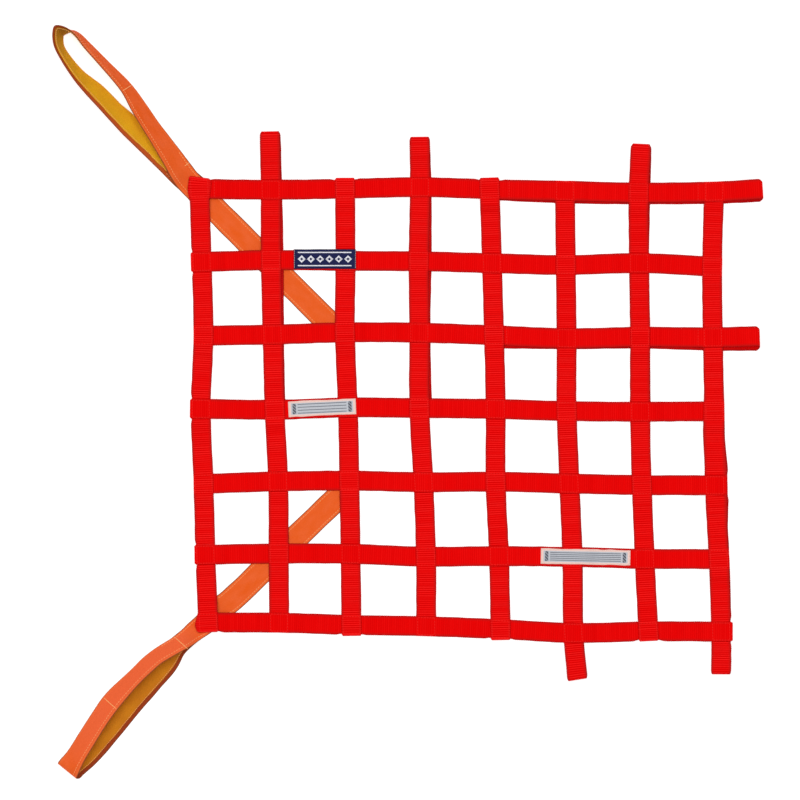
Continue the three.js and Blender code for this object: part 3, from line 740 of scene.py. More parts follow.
def pinch_at(layout, u):
    """How far a strap's edges draw in at u: on its low side, then on its high one."""
    first = layout.number == 0
    last = layout.number == len(UPRIGHTS if layout.upright else CROSS_STRAPS) - 1
    drawn = np.zeros((len(u), 2))
    for bulge in BULGES:
        if bulge["strap"] == layout.strap["name"]:
            column = ("low", "high").index(bulge["side"])
            drawn[:, column] -= bulge["out"] * near(u, bulge["at"], bulge["reach"])
    if not (first or last):
        return drawn
    where = "start" if first else "end"
    column = int(first != layout.upright)
    for other, crossing in zip(layout.others, layout.crossings):
        if other[where] == "wrap":
            away = np.abs(u - crossing.u) - HALF_WEBBING
            drawn[:, column] += PINCH * (1 - ease(away / PINCH_RAMP))
    return drawn


def edge_shade_share_at(layout, u):
    """The share of painted shade on a strap's edges: 1 between crossings, and less over them, where the edges
    of a strap hardly show.
    """
    away = np.min([np.abs(u - crossing.u) for crossing in layout.crossings], axis=0)
    return mix(EDGE_SHADE_OVER_CROSSING, 1, ease((away - HALF_WEBBING) / EDGE_SHADE_RAMP + 0.5))


def end_shift(layout, u, w):
    """How far each point moves to make an end that isn't square."""
    moved = np.zeros((*w.shape, 3))
    for shape in END_SHAPES:
        if shape["strap"] != layout.strap["name"]:
            continue
        outward = -1 if shape["where"] == "start" else 1
        fade = near(u, u.min() if outward < 0 else u.max(), END_SHAPE_REACH)
        amount = fade[:, None] * (shape["out"] - shape["slant"] * w / HALF_WEBBING)
        axis, sign = (1, -outward) if layout.upright else (0, outward)
        moved[..., axis] += sign * amount
    return moved


def strap_mesh(layout, seed):
    rng = np.random.default_rng(seed)
    u, height, shift, squeeze = strap_path(layout).T
    points = place(*layout.spot(u, shift), height)
    extra = np.column_stack([squeeze[:, None] + pinch_at(layout, u), u])
    spine = spine_from(points, layout.side(u), RIB_PITCH / RINGS_PER_RIB, extra)
    u = spine.extra[:, 2]
    length = spine.along[-1]
    pitch = length / round(length / RIB_PITCH)
    number = np.floor(spine.along / pitch + 0.5).astype(int)
    ribs = number.max() + 1
    rib = rib_at(spine.along, pitch) * rng.uniform(*RIB_STRENGTHS, ribs)[number]
    ring = STRAP_RING
    shape = (len(spine.along), len(ring.w))
    waves = edge_waves(rng, spine.along, **STRAP_EDGE)
    low, high = (wave + (SERRATION * rib - drawn)[:, None] for wave, drawn in zip(waves, spine.extra.T))
    w = ring.w + edge_push(ring, STRAP_EDGE_POWER, low, high)
    yarn = rng.normal(0, YARN_GRAIN, shape)
    h = ring.h + ring.face * (RIB_HEIGHT * rib[:, None] * (1 - SELVAGE_FLATTER * ring.selvage) + yarn)
    # The rib level, scaled by strap direction, sets the painted crest highlight and the painted groove shade
    scale, offset = GLINT[layout.kind]
    # The share of painted edge shade, which the selvage corners carry too: less over crossings
    edge = np.broadcast_to(edge_shade_share_at(layout, u)[:, None], shape)
    attributes = {
        "weave": weave_on(ring, spine.along, (rib * scale + offset)[:, None]),
        "selvage": ring.selvage * edge,
        "tone": rng.uniform(-1, 1, ribs)[number][:, None] * np.ones(shape),
        "open_edge": edge,
    }
    points = ribbon_points(spine, w, h) + end_shift(layout, u, w)
    return grid_mesh(f"webbing_{layout.strap['name']}", points, attributes), length


# Sewing. A seam is the starts, the ends and the normals of its stitches.

def thread_mesh(name, seams, radius, bow, sides):
    """Stitches of thread, each bowed out along its normal and sunk at both ends."""
    starts, ends, normals = joined(seams)
    knots = np.array([0, 0.18, 0.5, 0.82, 1.0])
    thick = np.array([0.55, 0.95, 1.0, 0.95, 0.55]) * radius
    arch = bow * (1 - (2 * knots - 1) ** 4) - radius * THREAD_SUNK
    way = unit(ends - starts)
    normals = unit(normals - (normals * way).sum(axis=1, keepdims=True) * way)
    flank = np.cross(normals, way)
    centre = mix(starts[:, None], ends[:, None], knots[:, None]) + normals[:, None] * arch[:, None]
    angle = 2 * np.pi * np.arange(sides) / sides
    spoke = flank[:, None, None] * np.cos(angle)[:, None] + normals[:, None, None] * np.sin(angle)[:, None]
    points = centre[:, :, None] + spoke * thick[:, None, None]
    count, rings = len(starts), len(knots)
    base = (np.arange(count) * rings * sides)[:, None, None]
    faces = (base + tube_quads(rings, sides)[:, [0, 3, 2, 1]]).reshape(-1, 4).tolist()
    cap = np.arange(sides)
    faces += (base[:, 0] + cap).tolist()
    faces += (base[:, 0] + (rings - 1) * sides + cap[::-1]).tolist()
    along = np.broadcast_to(knots[None, :, None] * THREAD_TURNS, (count, rings, sides))
    return mesh_from(name, points, faces, {"thread_along": along})


def sew(name, seams, material, radius, bow, sides=6):
    add_object(name, thread_mesh(name, seams, radius, bow, sides), material)


def seam(points, normals, pitch=STITCH_PITCH):
    """A seam along a line of points."""
    at = lengths_along(points)
    count = max(1, round(at[-1] / pitch))
    step = at[-1] / count
    first = (np.arange(count) + (1 - STITCH_FLOAT) / 2) * step
    starts = resampled(points, at, first)
    ends = resampled(points, at, first + STITCH_FLOAT * step)
    middles = unit(resampled(normals, at, first + STITCH_FLOAT * step / 2))
    return starts, ends, middles


def flat_seam(points, face=1):
    """A seam on top of the webbing, or beneath it where face is -1."""
    return seam(points, np.broadcast_to([0.0, 0.0, face], points.shape))


def joined(seams):
    return [np.concatenate(parts) for parts in zip(*seams)]


def box_lines(upright, cross):
    """The four lines of a crossing's box stitch, as across and down on the table."""
    up, over = LAYOUTS[UPRIGHTS[upright]["name"]], LAYOUTS[CROSS_STRAPS[cross]["name"]]
    reach = HALF_WEBBING - STITCH_INSET
    across, down = up.strap["at"][cross], over.strap["at"][upright]
    steps = np.linspace(-reach, reach, 9)
    lines = [up.spot(down + steps, sign * reach) for sign in (-1, 1)]
    return lines + [over.spot(across + steps, sign * reach) for sign in (-1, 1)]


def crossing_seams(upright, cross, face):
    """The box stitch of a crossing, on the top of its pile or on its underside."""
    pile = list(pile_at(upright, cross))
    kind, _ = pile[-1] if face > 0 else pile[0]
    layout = LAYOUTS[UPRIGHTS[upright]["name"] if kind == "up" else CROSS_STRAPS[cross]["name"]]
    seams = []
    for across, down in box_lines(upright, cross):
        u = down if layout.upright else across
        height = layout.height(u) + WEBBING_THICKNESS if face > 0 else layout.lift(u)
        seams.append(flat_seam(place(across, down, height), face))
    return seams


def bar_seams():
    seams = []
    for bar in BAR_STITCHES:
        layout = LAYOUTS[bar["strap"]]
        for u in bar["along"]:
            shift = np.linspace(-1, 1, 7) * (HALF_WEBBING - STITCH_INSET)
            line = np.full_like(shift, u)
            seams.append(flat_seam(place(*layout.spot(line, shift), layout.height(line) + WEBBING_THICKNESS)))
    return seams


def net_seams(face):
    crossings = [(i, j) for i in range(len(UPRIGHTS)) for j in range(len(CROSS_STRAPS))]
    seams = [line for i, j in crossings for line in crossing_seams(i, j, face)]
    return seams + (bar_seams() if face > 0 else [])


# Handles

def catmull_rom(points, t):
    """The centripetal curve that the part's source draws through points, at t from 0 to 1."""
    last = len(points) - 1
    padded = np.vstack([2 * points[0] - points[1], points, 2 * points[-1] - points[-2]])
    whole = np.minimum((t * last).astype(int), last - 1)
    part = (t * last - whole)[:, None]
    p0, p1, p2, p3 = (padded[whole + k] for k in range(4))
    pairs = ((p0, p1), (p1, p2), (p2, p3))
    d0, d1, d2 = (np.sqrt(np.linalg.norm(b - a, axis=1, keepdims=True)) for a, b in pairs)
    leave = ((p1 - p0) / d0 - (p2 - p0) / (d0 + d1) + (p2 - p1) / d1) * d1
    arrive = ((p2 - p1) / d1 - (p3 - p1) / (d1 + d2) + (p3 - p2) / d2) * d1
    square = -3 * p1 + 3 * p2 - 2 * leave - arrive
    cube = 2 * p1 - 2 * p2 + leave + arrive
    return p1 + part * (leave + part * (square + part * cube))


def handle_edge(handle, prefix, t):
    columns = [HANDLE_COLUMNS.index(f"{prefix}_{part}") for part in ("across", "down", "height")]
    rows = np.array(handle["rows"], float)[:, columns]
    return catmull_rom(place(*rows.T), t)


def handle_spine(handle):
    """A handle's middle line, raised where a ply would dip below the surface."""
    spans = len(handle["rows"]) - 1
    t = np.linspace(0, 1, spans * ROW_STEPS + 1)
    low, high = handle_edge(handle, "low", t), handle_edge(handle, "high", t)
    centre, side, row = (low + high) / 2, unit(low - high), t * spans
    first, last = handle["lined_rows"]
    lined = ease((row - first) / LINING_SETTLE + 1) * ease((last - row) / LINING_SETTLE + 1)
    for _ in range(2):
        face = unit(np.cross(side, np.gradient(centre, axis=0)))
        depth = HANDLE_PLY / 2 + HANDLE_LAYER * lined * (face[:, 2] > 0)
        lowest = centre[:, 2] - np.abs(side[:, 2]) * HANDLE_WIDTH / 2
        centre[:, 2] += np.maximum(0, depth * np.abs(face[:, 2]) - lowest)
        padded = np.pad(centre[:, 2], SMOOTHED_OVER // 2, mode="edge")
        centre[:, 2] = np.convolve(padded, np.ones(SMOOTHED_OVER) / SMOOTHED_OVER, "valid")
    spine = spine_from(centre, side, HANDLE_STEP, row[:, None])
    spine.face = -spine.face
    spine.row = spine.extra[:, 0]
    return spine


def cut(spine, keep):
    """The part of a spine to keep, measured from its own start."""
    keys = ("centre", "side", "face", "along", "row")
    kept = SimpleNamespace(**{key: getattr(spine, key)[keep] for key in keys})
    kept.along = kept.along - kept.along[0]
    return kept


def handle_attributes(handle, ring, spine):
    """A ply's attributes, with its handling marks and painted shading: none along the run, some round the
    loop, and its own at the tip.
    """
    shape = (len(spine.along), len(ring.w))
    round_loop, at_tip = handle["wear"]
    near_tip = near(spine.row, handle["tip_row"], WEAR_AND_SHADING_TIP_REACH)
    wear = ease((spine.row - WEAR_AND_SHADING_FROM_ROW) / WEAR_AND_SHADING_RAMP) * mix(round_loop, at_tip, near_tip)
    return {**face_attributes(ring, spine), "wear": np.broadcast_to(wear[:, None], shape)}


def face_attributes(ring, spine):
    selvage = np.broadcast_to(ring.selvage, (len(spine.along), len(ring.w)))
    return {"weave": weave_on(ring, spine.along, ring.face), "selvage": selvage}


def gathered(handle, spine):
    """The share of its full width that a handle has, point by point along it."""
    share = np.ones(len(spine.row))
    for gather in GATHERS:
        if gather["handle"] == handle["name"]:
            drawn = gather["by"] * near(spine.row, gather["row"], gather["reach"])
            share = share * (1 - 2 * drawn / HANDLE_WIDTH)
    return share


def cover_mesh(handle, spine, seed):
    rng = np.random.default_rng(seed)
    ring = COVER_RING
    from_seam = np.abs(ring.w) - (HANDLE_WIDTH / 2 - COVER_SEAM_INSET)
    pull = SEAM_PULL * np.exp(-((from_seam / SEAM_PULL_REACH) ** 2))
    pucker = 0.75 + 0.25 * np.cos(2 * np.pi * spine.along / STITCH_PITCH)
    grain = rng.normal(0, YARN_GRAIN, (len(spine.along), len(ring.w)))
    h = ring.h + ring.face * (grain - pull * pucker[:, None])
    high, low = edge_waves(rng, spine.along, **COVER_EDGE)
    w = ring.w + edge_push(ring, EDGE_POWER, low, high)
    points = ribbon_points(spine, w * gathered(handle, spine)[:, None], h)
    return grid_mesh(f"{handle['name']}_pull_cover", points, handle_attributes(handle, ring, spine))


def lining_spine(handle, spine):
    first, last = handle["lined_rows"]
    lined = cut(spine, (spine.row >= first) & (spine.row <= last))
    middle = (LINING_OFFSET * gathered(handle, lined))[:, None]
    lined.centre = lined.centre + lined.side * middle - lined.face * (HANDLE_LAYER - PLY_BITE)
    return lined


def lining_mesh(handle, spine, seed):
    rng = np.random.default_rng(seed)
    ring = LINING_RING
    h = ring.h + ring.face * rng.normal(0, PILE_GRAIN, (len(spine.along), len(ring.w)))
    edges = []
    for trim in (0, LINING_TRIM):
        ragged = wobble(rng, spine.along, 11) + 0.5 * wobble(rng, spine.along, 3)
        edges.append((LINING_RAGGED * ragged - LINING_SHORT - trim)[:, None])
    high, low = edges
    w = (ring.w + edge_push(ring, EDGE_POWER, low, high)) * gathered(handle, spine)[:, None]
    points = ribbon_points(spine, w, h)
    return grid_mesh(f"{handle['name']}_pull_lining", points, handle_attributes(handle, ring, spine))


def seam_on(handle, spine, w, h, pitch=STITCH_PITCH):
    """A seam along a handle's ply, on the face that h points to."""
    across = (w * gathered(handle, spine))[:, None]
    points = spine.centre + spine.side * across + spine.face * h
    return seam(points, spine.face * np.sign(h), pitch)


def high_line(handle, spine):
    """The outer seam near the high edge: at the cover's own inset, then where the lining is sewn on."""
    first, last = handle["lined_rows"]
    sewn_on = ease(spine.row - first + LINING_LINE_LEAD) * ease(last + 1 - spine.row)
    return mix(COVER_SEAM_INSET - HANDLE_WIDTH / 2, LINING_LINE, sewn_on)


def cover_seams(handle, spine):
    """The high side's outer seam along the whole cover, and the other seams where it has no lining."""
    reach = HANDLE_WIDTH / 2 - COVER_SEAM_INSET
    top = HANDLE_PLY / 2 - PLY_BITE
    first, last = handle["lined_rows"]
    bare = [cut(spine, spine.row < first), cut(spine, spine.row > last)]
    seams = [seam_on(handle, spine, high_line(handle, spine), top)]
    seams += [seam_on(handle, part, reach, top) for part in bare]
    return seams + [seam_on(handle, part, w, -top) for w in (-reach, reach) for part in bare]


def lining_seams(handle, lined):
    reach = LINING_WIDTH / 2 - LINING_SEAM_INSET
    lines = (LINING_TRIM - reach, reach)
    return [seam_on(handle, lined, w, -HANDLE_PLY / 2, LINING_SEAM_PITCH) for w in lines]


def cross_seams(handle, spine):
    """The single long stitches across a cover."""
    seams = []
    for stitch in CROSS_STITCHES:
        if stitch["handle"] == handle["name"]:
            k = int(np.argmin(np.abs(spine.row - stitch["row"])))
            middle = spine.centre[k] + spine.face[k] * HANDLE_PLY * 0.55
            points = [middle + spine.side[k] * end * HANDLE_WIDTH / 2 for end in stitch["ends"]]
            seams.append([np.array([point]) for point in (*points, spine.face[k])])
    return seams


# Tags

def tag_spine(tag):
    """A tag's middle line, on top of its strap and over an upright that passes above the strap."""
    layout = LAYOUTS[tag["strap"]]
    level = height_along([c.u for c in layout.crossings], [c.strap for c in layout.crossings], [0] * 7)
    t = np.linspace(0, 1, round((tag["end"] - tag["start"]) / TAG_STEP) + 1)
    across = mix(tag["start"], tag["end"], t)
    down = mix(tag["middle"][0], tag["middle"][1], t)
    height = level(across)
    if "over" in tag:
        number = [strap["name"] for strap in UPRIGHTS].index(tag["over"])
        crossing = layout.crossings[number]
        away = np.abs(across - crossing.u) - HALF_WEBBING - TAG_OVERHANG
        height = np.maximum(height, (crossing.strap + LAYER) * (1 - ease(away / TAG_RAMP)))
    points = place(across, down, height + layout.lift(across) + LAYER + TAG_THICKNESS / 2)
    slope = (tag["middle"][1] - tag["middle"][0]) / (tag["end"] - tag["start"])
    sides = np.broadcast_to(unit(np.array([slope, 1.0, 0.0])), points.shape)
    return spine_from(points, sides, TAG_STEP)


def tag_mesh(tag, spine, seed):
    rng = np.random.default_rng(seed)
    half = tag["height"] / 2
    ring = Ring(half, TAG_THICKNESS, top=[*np.linspace(half - 0.8, 0, 9)], bottom=[half * 0.5, 0.0], roll=0.2)
    high, low = edge_waves(rng, spine.along, **TAG_EDGE)
    w = ring.w + edge_push(ring, EDGE_POWER, low, high)
    drape = TAG_DRAPE * wobble(rng, spine.along, TAG_DRAPE_LENGTH)[:, None] * (1 - (ring.w / half) ** 2)
    grain = rng.normal(0, TAG_GRAIN, (len(spine.along), len(ring.w)))
    h = ring.h + np.where(ring.face > 0, drape + grain, 0)
    return grid_mesh(tag["name"] + "_cloth", ribbon_points(spine, w, h), face_attributes(ring, spine))


def on_tag(spine, along, w, height=TAG_THICKNESS / 2):
    """Places on a tag's face, from mm along it and mm above its middle line, with their normals."""
    along, w = np.broadcast_arrays(along, w)
    centre = resampled(spine.centre, spine.along, along)
    side = unit(resampled(spine.side, spine.along, along))
    face = unit(resampled(spine.face, spine.along, along))
    return centre + side * w[:, None] + face * height, face


def satin(spine, along, low, high):
    """White stitches up a tag's face, from low to high at each place along it."""
    starts, face = on_tag(spine, along, low)
    ends, _ = on_tag(spine, along, high)
    return starts, ends, face


def design_seams(spine):
    """The woven tag's own generic design: a row of hollow diamonds between two lines."""
    length = spine.along[-1]
    line = np.arange(DESIGN_MARGIN, length - DESIGN_MARGIN, SATIN_STEP)
    seams = [satin(spine, line, at - DESIGN_LINE_HALF, at + DESIGN_LINE_HALF) for at in DESIGN_LINES_AT]
    offsets = np.arange(-DIAMOND_HALF, DIAMOND_HALF + 0.01, SATIN_STEP)
    outer = DIAMOND_HALF - np.abs(offsets) + DIAMOND_POINT
    inner = np.maximum(outer - DIAMOND_BAND, 0.0)
    first = DESIGN_MARGIN + DIAMOND_HALF
    for centre in np.linspace(first, length - first, DIAMOND_COUNT):
        seams.append(satin(spine, centre + offsets, inner, outer))
        seams.append(satin(spine, centre + offsets, -outer, -inner))
    return seams


def whip_seams(spine, half_height):
    """Short leaning stitches over all four edges of a tag."""
    length = spine.along[-1]
    lean = 0.3 * WHIP_PITCH
    along = np.arange(0.6, length - 0.5, WHIP_PITCH)
    across = np.arange(-half_height + 0.6, half_height - 0.5, WHIP_PITCH)
    seams = []
    for sign in (-1, 1):
        outer, face = on_tag(spine, along, sign * (half_height + WHIP_OVERHANG), 0.0)
        inner, _ = on_tag(spine, along + lean, sign * (half_height - WHIP_REACH))
        seams.append((outer, inner, face))
    way = unit(spine.centre[-1] - spine.centre[0])
    for end, inward in ((0.0, 1), (length, -1)):
        outer, face = on_tag(spine, end, across, 0.0)
        inner, _ = on_tag(spine, end + inward * WHIP_REACH, across + lean)
        seams.append((outer - way * inward * WHIP_OVERHANG, inner, face))
    return seams


def end_seams(spine, half_height, inset):
    """A running stitch across both ends of a tag."""
    across = np.linspace(inset - half_height, half_height - inset, 20)
    return [seam(*on_tag(spine, end, across), TAG_SEAM_PITCH) for end in (inset, spine.along[-1] - inset)]


def border_seams(spine, half_height, inset):
    """A running stitch all round a tag."""
    along = np.linspace(inset, spine.along[-1] - inset, 60)
    sides = (inset - half_height, half_height - inset)
    rows = [seam(*on_tag(spine, along, w), TAG_SEAM_PITCH) for w in sides]
    return rows + end_seams(spine, half_height, inset)


# Materials

class Shader:
    """A short way to write one node material."""

    def __init__(self, name, roughness, gloss=0.05):
        self.material = bpy.data.materials.new(name)
        self.material.use_nodes = True
        self.tree = self.material.node_tree
        self.surface = self.tree.nodes["Principled BSDF"]
        self.surface.inputs["Roughness"].default_value = roughness
        self.surface.inputs["Specular IOR Level"].default_value = gloss

    def put(self, value, target):
        if isinstance(value, bpy.types.NodeSocket):
            self.tree.links.new(value, target)
        else:
            target.default_value = value

    def attribute(self, name, output="Fac"):
        node = self.tree.nodes.new("ShaderNodeAttribute")
        node.attribute_name = name
        return node.outputs[output]

    def read_weave(self):
        """Keeps mm across and mm along, and gives the weave's third value."""
        node = self.tree.nodes.new("ShaderNodeSeparateXYZ")
        self.put(self.attribute("weave", "Vector"), node.inputs[0])
        self.across, self.along, third = node.outputs
        return third

    def math(self, operation, first, second=0.0, clamp=False):
        node = self.tree.nodes.new("ShaderNodeMath")
        node.operation = operation
        node.use_clamp = clamp
        self.put(first, node.inputs[0])
        self.put(second, node.inputs[1])
        return node.outputs[0]

    def times(self, first, second):
        return self.math("MULTIPLY", first, second)

    def wave(self, value, length):
        """A sine with this many mm from crest to crest."""
        return self.math("SINE", self.times(value, 2 * math.pi / length))

    def span(self, value, low, high, to_low=0.0, to_high=1.0):
        node = self.tree.nodes.new("ShaderNodeMapRange")
        for key, number in (("From Min", low), ("From Max", high), ("To Min", to_low), ("To Max", to_high)):
            node.inputs[key].default_value = number
        self.put(value, node.inputs["Value"])
        return node.outputs[0]

    def window(self, value, low, high, soft=0.12):
        """1 where value lies between low and high, with soft ends."""
        rise = self.span(value, low - soft, low + soft)
        return self.times(rise, self.span(value, high - soft, high + soft, 1.0, 0.0))

    def noise(self, across, along, detail=2.0, roughness=0.5):
        """Noise, as fine across the piece and along it as these numbers per mm say."""
        spot = self.tree.nodes.new("ShaderNodeCombineXYZ")
        self.put(self.times(self.across, across), spot.inputs[0])
        self.put(self.times(self.along, along), spot.inputs[1])
        node = self.tree.nodes.new("ShaderNodeTexNoise")
        for key, number in (("Scale", 1.0), ("Detail", detail), ("Roughness", roughness)):
            node.inputs[key].default_value = number
        self.put(spot.outputs[0], node.inputs["Vector"])
        return node.outputs["Fac"]

    def mottled(self, base, colour, most, across, along, detail=2.0):
        """Patches of a colour on a base, this much of it at most, as fine as noise takes these numbers."""
        return self.blend(self.span(self.noise(across, along, detail), 0.3, 0.7, 0.0, most), base, colour)

    def blend(self, factor, first, second):
        node = self.tree.nodes.new("ShaderNodeMix")
        node.data_type = "RGBA"
        self.put(factor, node.inputs["Factor"])
        colours = [socket for socket in node.inputs if socket.type == "RGBA"]
        for value, target in zip((first, second), colours):
            self.put((*value, 1) if isinstance(value, tuple) else value, target)
        return next(socket for socket in node.outputs if socket.type == "RGBA")

    def colour(self, socket):
        self.put(socket, self.surface.inputs["Base Color"])

    def rough(self, socket):
        self.put(socket, self.surface.inputs["Roughness"])

    def bump(self, height, distance, strength):
        node = self.tree.nodes.new("ShaderNodeBump")
        node.inputs["Distance"].default_value = distance
        node.inputs["Strength"].default_value = strength
        self.put(height, node.inputs["Height"])
        self.put(node.outputs[0], self.surface.inputs["Normal"])


def webbing_material():
    """Ribbed webbing: light crests with a painted highlight, dark grooves with painted shade, streaks of yarn
    along the strap, and painted shade along its edges and selvage, less over crossings.
    """
    # groove is painted shade and crest a painted highlight with a whitish glint; the rib level picks between
    # them
    groove, body, crest = (0.54, 0.0, 0.0004), (0.93, 0.0012, 0.0012), (1.0, 0.022, 0.020)
    s = Shader("red webbing", 0.6, gloss=0.008)
    rib = s.read_weave()
    ribs = s.blend(s.span(rib, 0.35, 1.25), s.blend(s.span(rib, -1.2, 0.9), groove, body), crest)
    streaked = s.mottled(ribs, (0.68, 0.0005, 0.001), 0.35, 2.2, 0.12, 3.0)
    shaded = s.mottled(streaked, (0.90, 0.005, 0.004), 0.2, 0.03, 0.03, 1.0)
    toned = s.blend(s.span(s.attribute("tone"), -1, 1, 0.0, 0.15), shaded, (0.58, 0.0, 0.0005))
    # Painted shade along both edges, where the webbing rounds away from the light, with more on the selvage
    # corners and less of it over crossings
    near_edge = s.span(s.math("ABSOLUTE", s.across), 6.7, 9.6, 0.0, 0.72)
    edge_shaded = s.blend(s.times(near_edge, s.attribute("open_edge")), toned, (0.40, 0.010, 0.009))
    s.colour(s.blend(s.span(s.attribute("selvage"), 0.0, 1.0, 0.0, 0.3), edge_shaded, (0.26, 0.0, 0.002)))
    fibre = s.noise(4.0, 1.2, 3.0)
    s.bump(s.math("ADD", s.times(s.wave(s.across, 0.62), 0.4), fibre), 0.00008, 0.6)
    s.rough(s.span(fibre, 0.2, 0.8, 0.48, 0.68))
    return s.material


def thread_material(name, light, dark):
    """Twisted sewing thread."""
    s = Shader(name, 0.5)
    turned = s.math("SINE", s.times(s.attribute("thread_along"), 14.0))
    s.colour(s.blend(s.span(turned, -1, 1, 0.0, 0.5), light, dark))
    return s.material


def cover_material(name, inner, wear_and_shading_colour):
    """Orange tape: mottled, recoloured round the loop, partly for handling marks and partly as painted light
    on the standing legs, paler outside its seams, with a dull edge and inner face.
    """
    s = Shader(name, 0.55, gloss=0.01)
    outside = s.span(s.read_weave(), -0.2, 0.2)
    clean = s.mottled((0.82, 0.113, 0.014), (0.86, 0.138, 0.034), 1.0, 0.12, 0.06, 3.0)
    with_wear_and_shading = s.blend(s.attribute("wear"), clean, wear_and_shading_colour)
    grained = s.mottled(with_wear_and_shading, (0.66, 0.080, 0.010), 0.3, 0.8, 0.8)
    distance = s.math("ABSOLUTE", s.across)
    rim = s.times(s.span(distance, 9.4, 10.0, 0.0, 0.4), outside)
    rimmed = s.blend(rim, s.blend(outside, inner, grained), (0.84, 0.165, 0.040))
    s.colour(s.blend(s.span(distance, 11.3, 12.0, 0.0, 0.85), rimmed, (0.20, 0.055, 0.022)))
    fibre = s.noise(3.0, 3.0)
    s.bump(s.math("ADD", s.times(s.wave(s.along, 0.9), s.wave(s.across, 0.7)), fibre), 0.00006, 0.5)
    s.rough(s.span(fibre, 0.2, 0.8, 0.45, 0.62))
    return s.material


def lining_material(name, deep, light, patch, soiling_and_shade=0.0):
    """Ochre pile: speckled, darker round the tip and the loop, partly from handling marks and partly painted
    shade, with a dull greenish edge on the side that lies low.
    """
    s = Shader(name, 0.9)
    s.read_weave()
    base = s.blend(s.span(s.noise(1.4, 1.4, 3.0, 0.6), 0.3, 0.7), deep, light)
    patchy = s.mottled(base, patch, 0.45, 0.1, 0.08)
    varied = s.blend(s.span(s.attribute("wear"), 0.0, 1.0, 0.0, soiling_and_shade), patchy, (0.30, 0.115, 0.012))
    s.colour(s.blend(s.times(s.span(s.across, 9.2, 10.2), 0.7), varied, (0.40, 0.29, 0.07)))
    s.bump(s.noise(2.6, 2.6, 4.0, 0.7), 0.00035, 0.7)
    return s.material


def navy_material():
    """Navy woven cloth of fine crossed rows."""
    s = Shader("navy weave", 0.65)
    s.read_weave()
    check = s.times(s.wave(s.across, 0.8), s.wave(s.along, 0.8))
    base = s.blend(s.span(check, -1, 1), (0.008, 0.010, 0.045), (0.015, 0.019, 0.080))
    flecked = s.blend(s.span(s.noise(0.7, 0.7, 3.0), 0.35, 0.7, 0.0, 0.6), base, (0.024, 0.027, 0.105))
    s.colour(s.blend(s.span(s.attribute("selvage"), 0.0, 1.0, 0.0, 0.8), flecked, (0.006, 0.007, 0.022)))
    s.bump(check, 0.0001, 0.7)
    return s.material


def pale_material(name, length, half_height, rules):
    """A blank write-on tag: cream border, grey-blue field, hatched bars at both ends and ruled lines."""
    ink = (0.055, 0.06, 0.085)
    s = Shader(name, 0.6, gloss=0.1)
    s.read_weave()
    fibre = s.noise(1.1, 1.1, 3.0)
    cloth = s.span(fibre, 0.3, 0.7)
    border = s.blend(cloth, (0.82, 0.55, 0.49), (0.90, 0.66, 0.59))
    field = s.blend(cloth, (0.44, 0.46, 0.51), (0.58, 0.60, 0.64))
    reach = half_height - PALE_BORDER
    inside = s.times(s.window(s.along, 2.6, length - 2.6, 0.25), s.window(s.across, -reach, reach, 0.25))
    printed = s.blend(inside, border, field)
    first, last = s.window(s.along, 4.2, 7.6), s.window(s.along, length - 7.6, length - 4.2)
    bars = s.math("ADD", first, last, clamp=True)
    hatch = s.span(s.math("SINE", s.times(s.math("ADD", s.across, s.along), 2.0)), -0.4, 0.4, 0.45, 1.0)
    barred = s.times(s.times(bars, hatch), s.window(s.across, -reach + 0.6, reach - 0.6))
    printed = s.blend(barred, printed, ink)
    for rule in rules:
        row = s.window(s.across, rule - RULE_HALF, rule + RULE_HALF)
        line = s.times(row, s.window(s.along, 9.4, length - 9.4))
        printed = s.blend(s.times(line, 0.8), printed, ink)
    s.colour(printed)
    s.bump(s.math("ADD", s.times(s.wave(s.across, 0.7), 0.5), fibre), 0.00006, 0.6)
    return s.material


def floor_material():
    s = Shader("pale floor", 0.9)
    s.surface.inputs["Base Color"].default_value = (0.64, 0.64, 0.64, 1)
    s.surface.inputs["Emission Color"].default_value = (1, 1, 1, 1)
    s.surface.inputs["Emission Strength"].default_value = 0.6
    return s.material


# Putting it together

RED = webbing_material()
RED_THREAD = thread_material("red thread", (0.95, 0.024, 0.020), (0.80, 0.006, 0.005))
# Each cover's loop colour is partly painted light on its standing legs: darker and browner at the upper tip,
# paler and pinker round the lower loop
ORANGE = {
    "upper": cover_material("orange tape", inner=(0.50, 0.085, 0.018), wear_and_shading_colour=(0.50, 0.075, 0.022)),
    "lower": cover_material("orange tape in shade", inner=(0.31, 0.045, 0.012), wear_and_shading_colour=(0.87, 0.138, 0.048)),
}
ORANGE_THREAD = thread_material("orange thread", (1.0, 0.48, 0.20), (0.92, 0.30, 0.09))
PEACH_THREAD = thread_material("peach thread", (0.96, 0.46, 0.18), (0.90, 0.32, 0.10))
OCHRE = {
    "upper": lining_material(
        "ochre pile", deep=(0.67, 0.32, 0.005), light=(0.93, 0.54, 0.022), patch=(0.70, 0.31, 0.014),
        soiling_and_shade=0.8,
    ),
    "lower": lining_material(
        "ochre pile in shade", deep=(0.50, 0.16, 0.004), light=(0.68, 0.25, 0.018), patch=(0.48, 0.14, 0.010)
    ),
}
NAVY = navy_material()
NAVY_THREAD = thread_material("navy thread", (0.020, 0.024, 0.08), (0.008, 0.010, 0.04))
WHITE_THREAD = thread_material("white thread", (0.94, 0.94, 0.97), (0.80, 0.81, 0.88))
CREAM_THREAD = thread_material("cream thread", (0.86, 0.62, 0.52), (0.72, 0.42, 0.34))


def dress_straps():
    for number, (name, layout) in enumerate(LAYOUTS.items()):
        mesh, length = strap_mesh(layout, seed=100 + number)
        webbing = add_object(mesh.name, mesh, RED)
        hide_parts(f"strap_{name}")


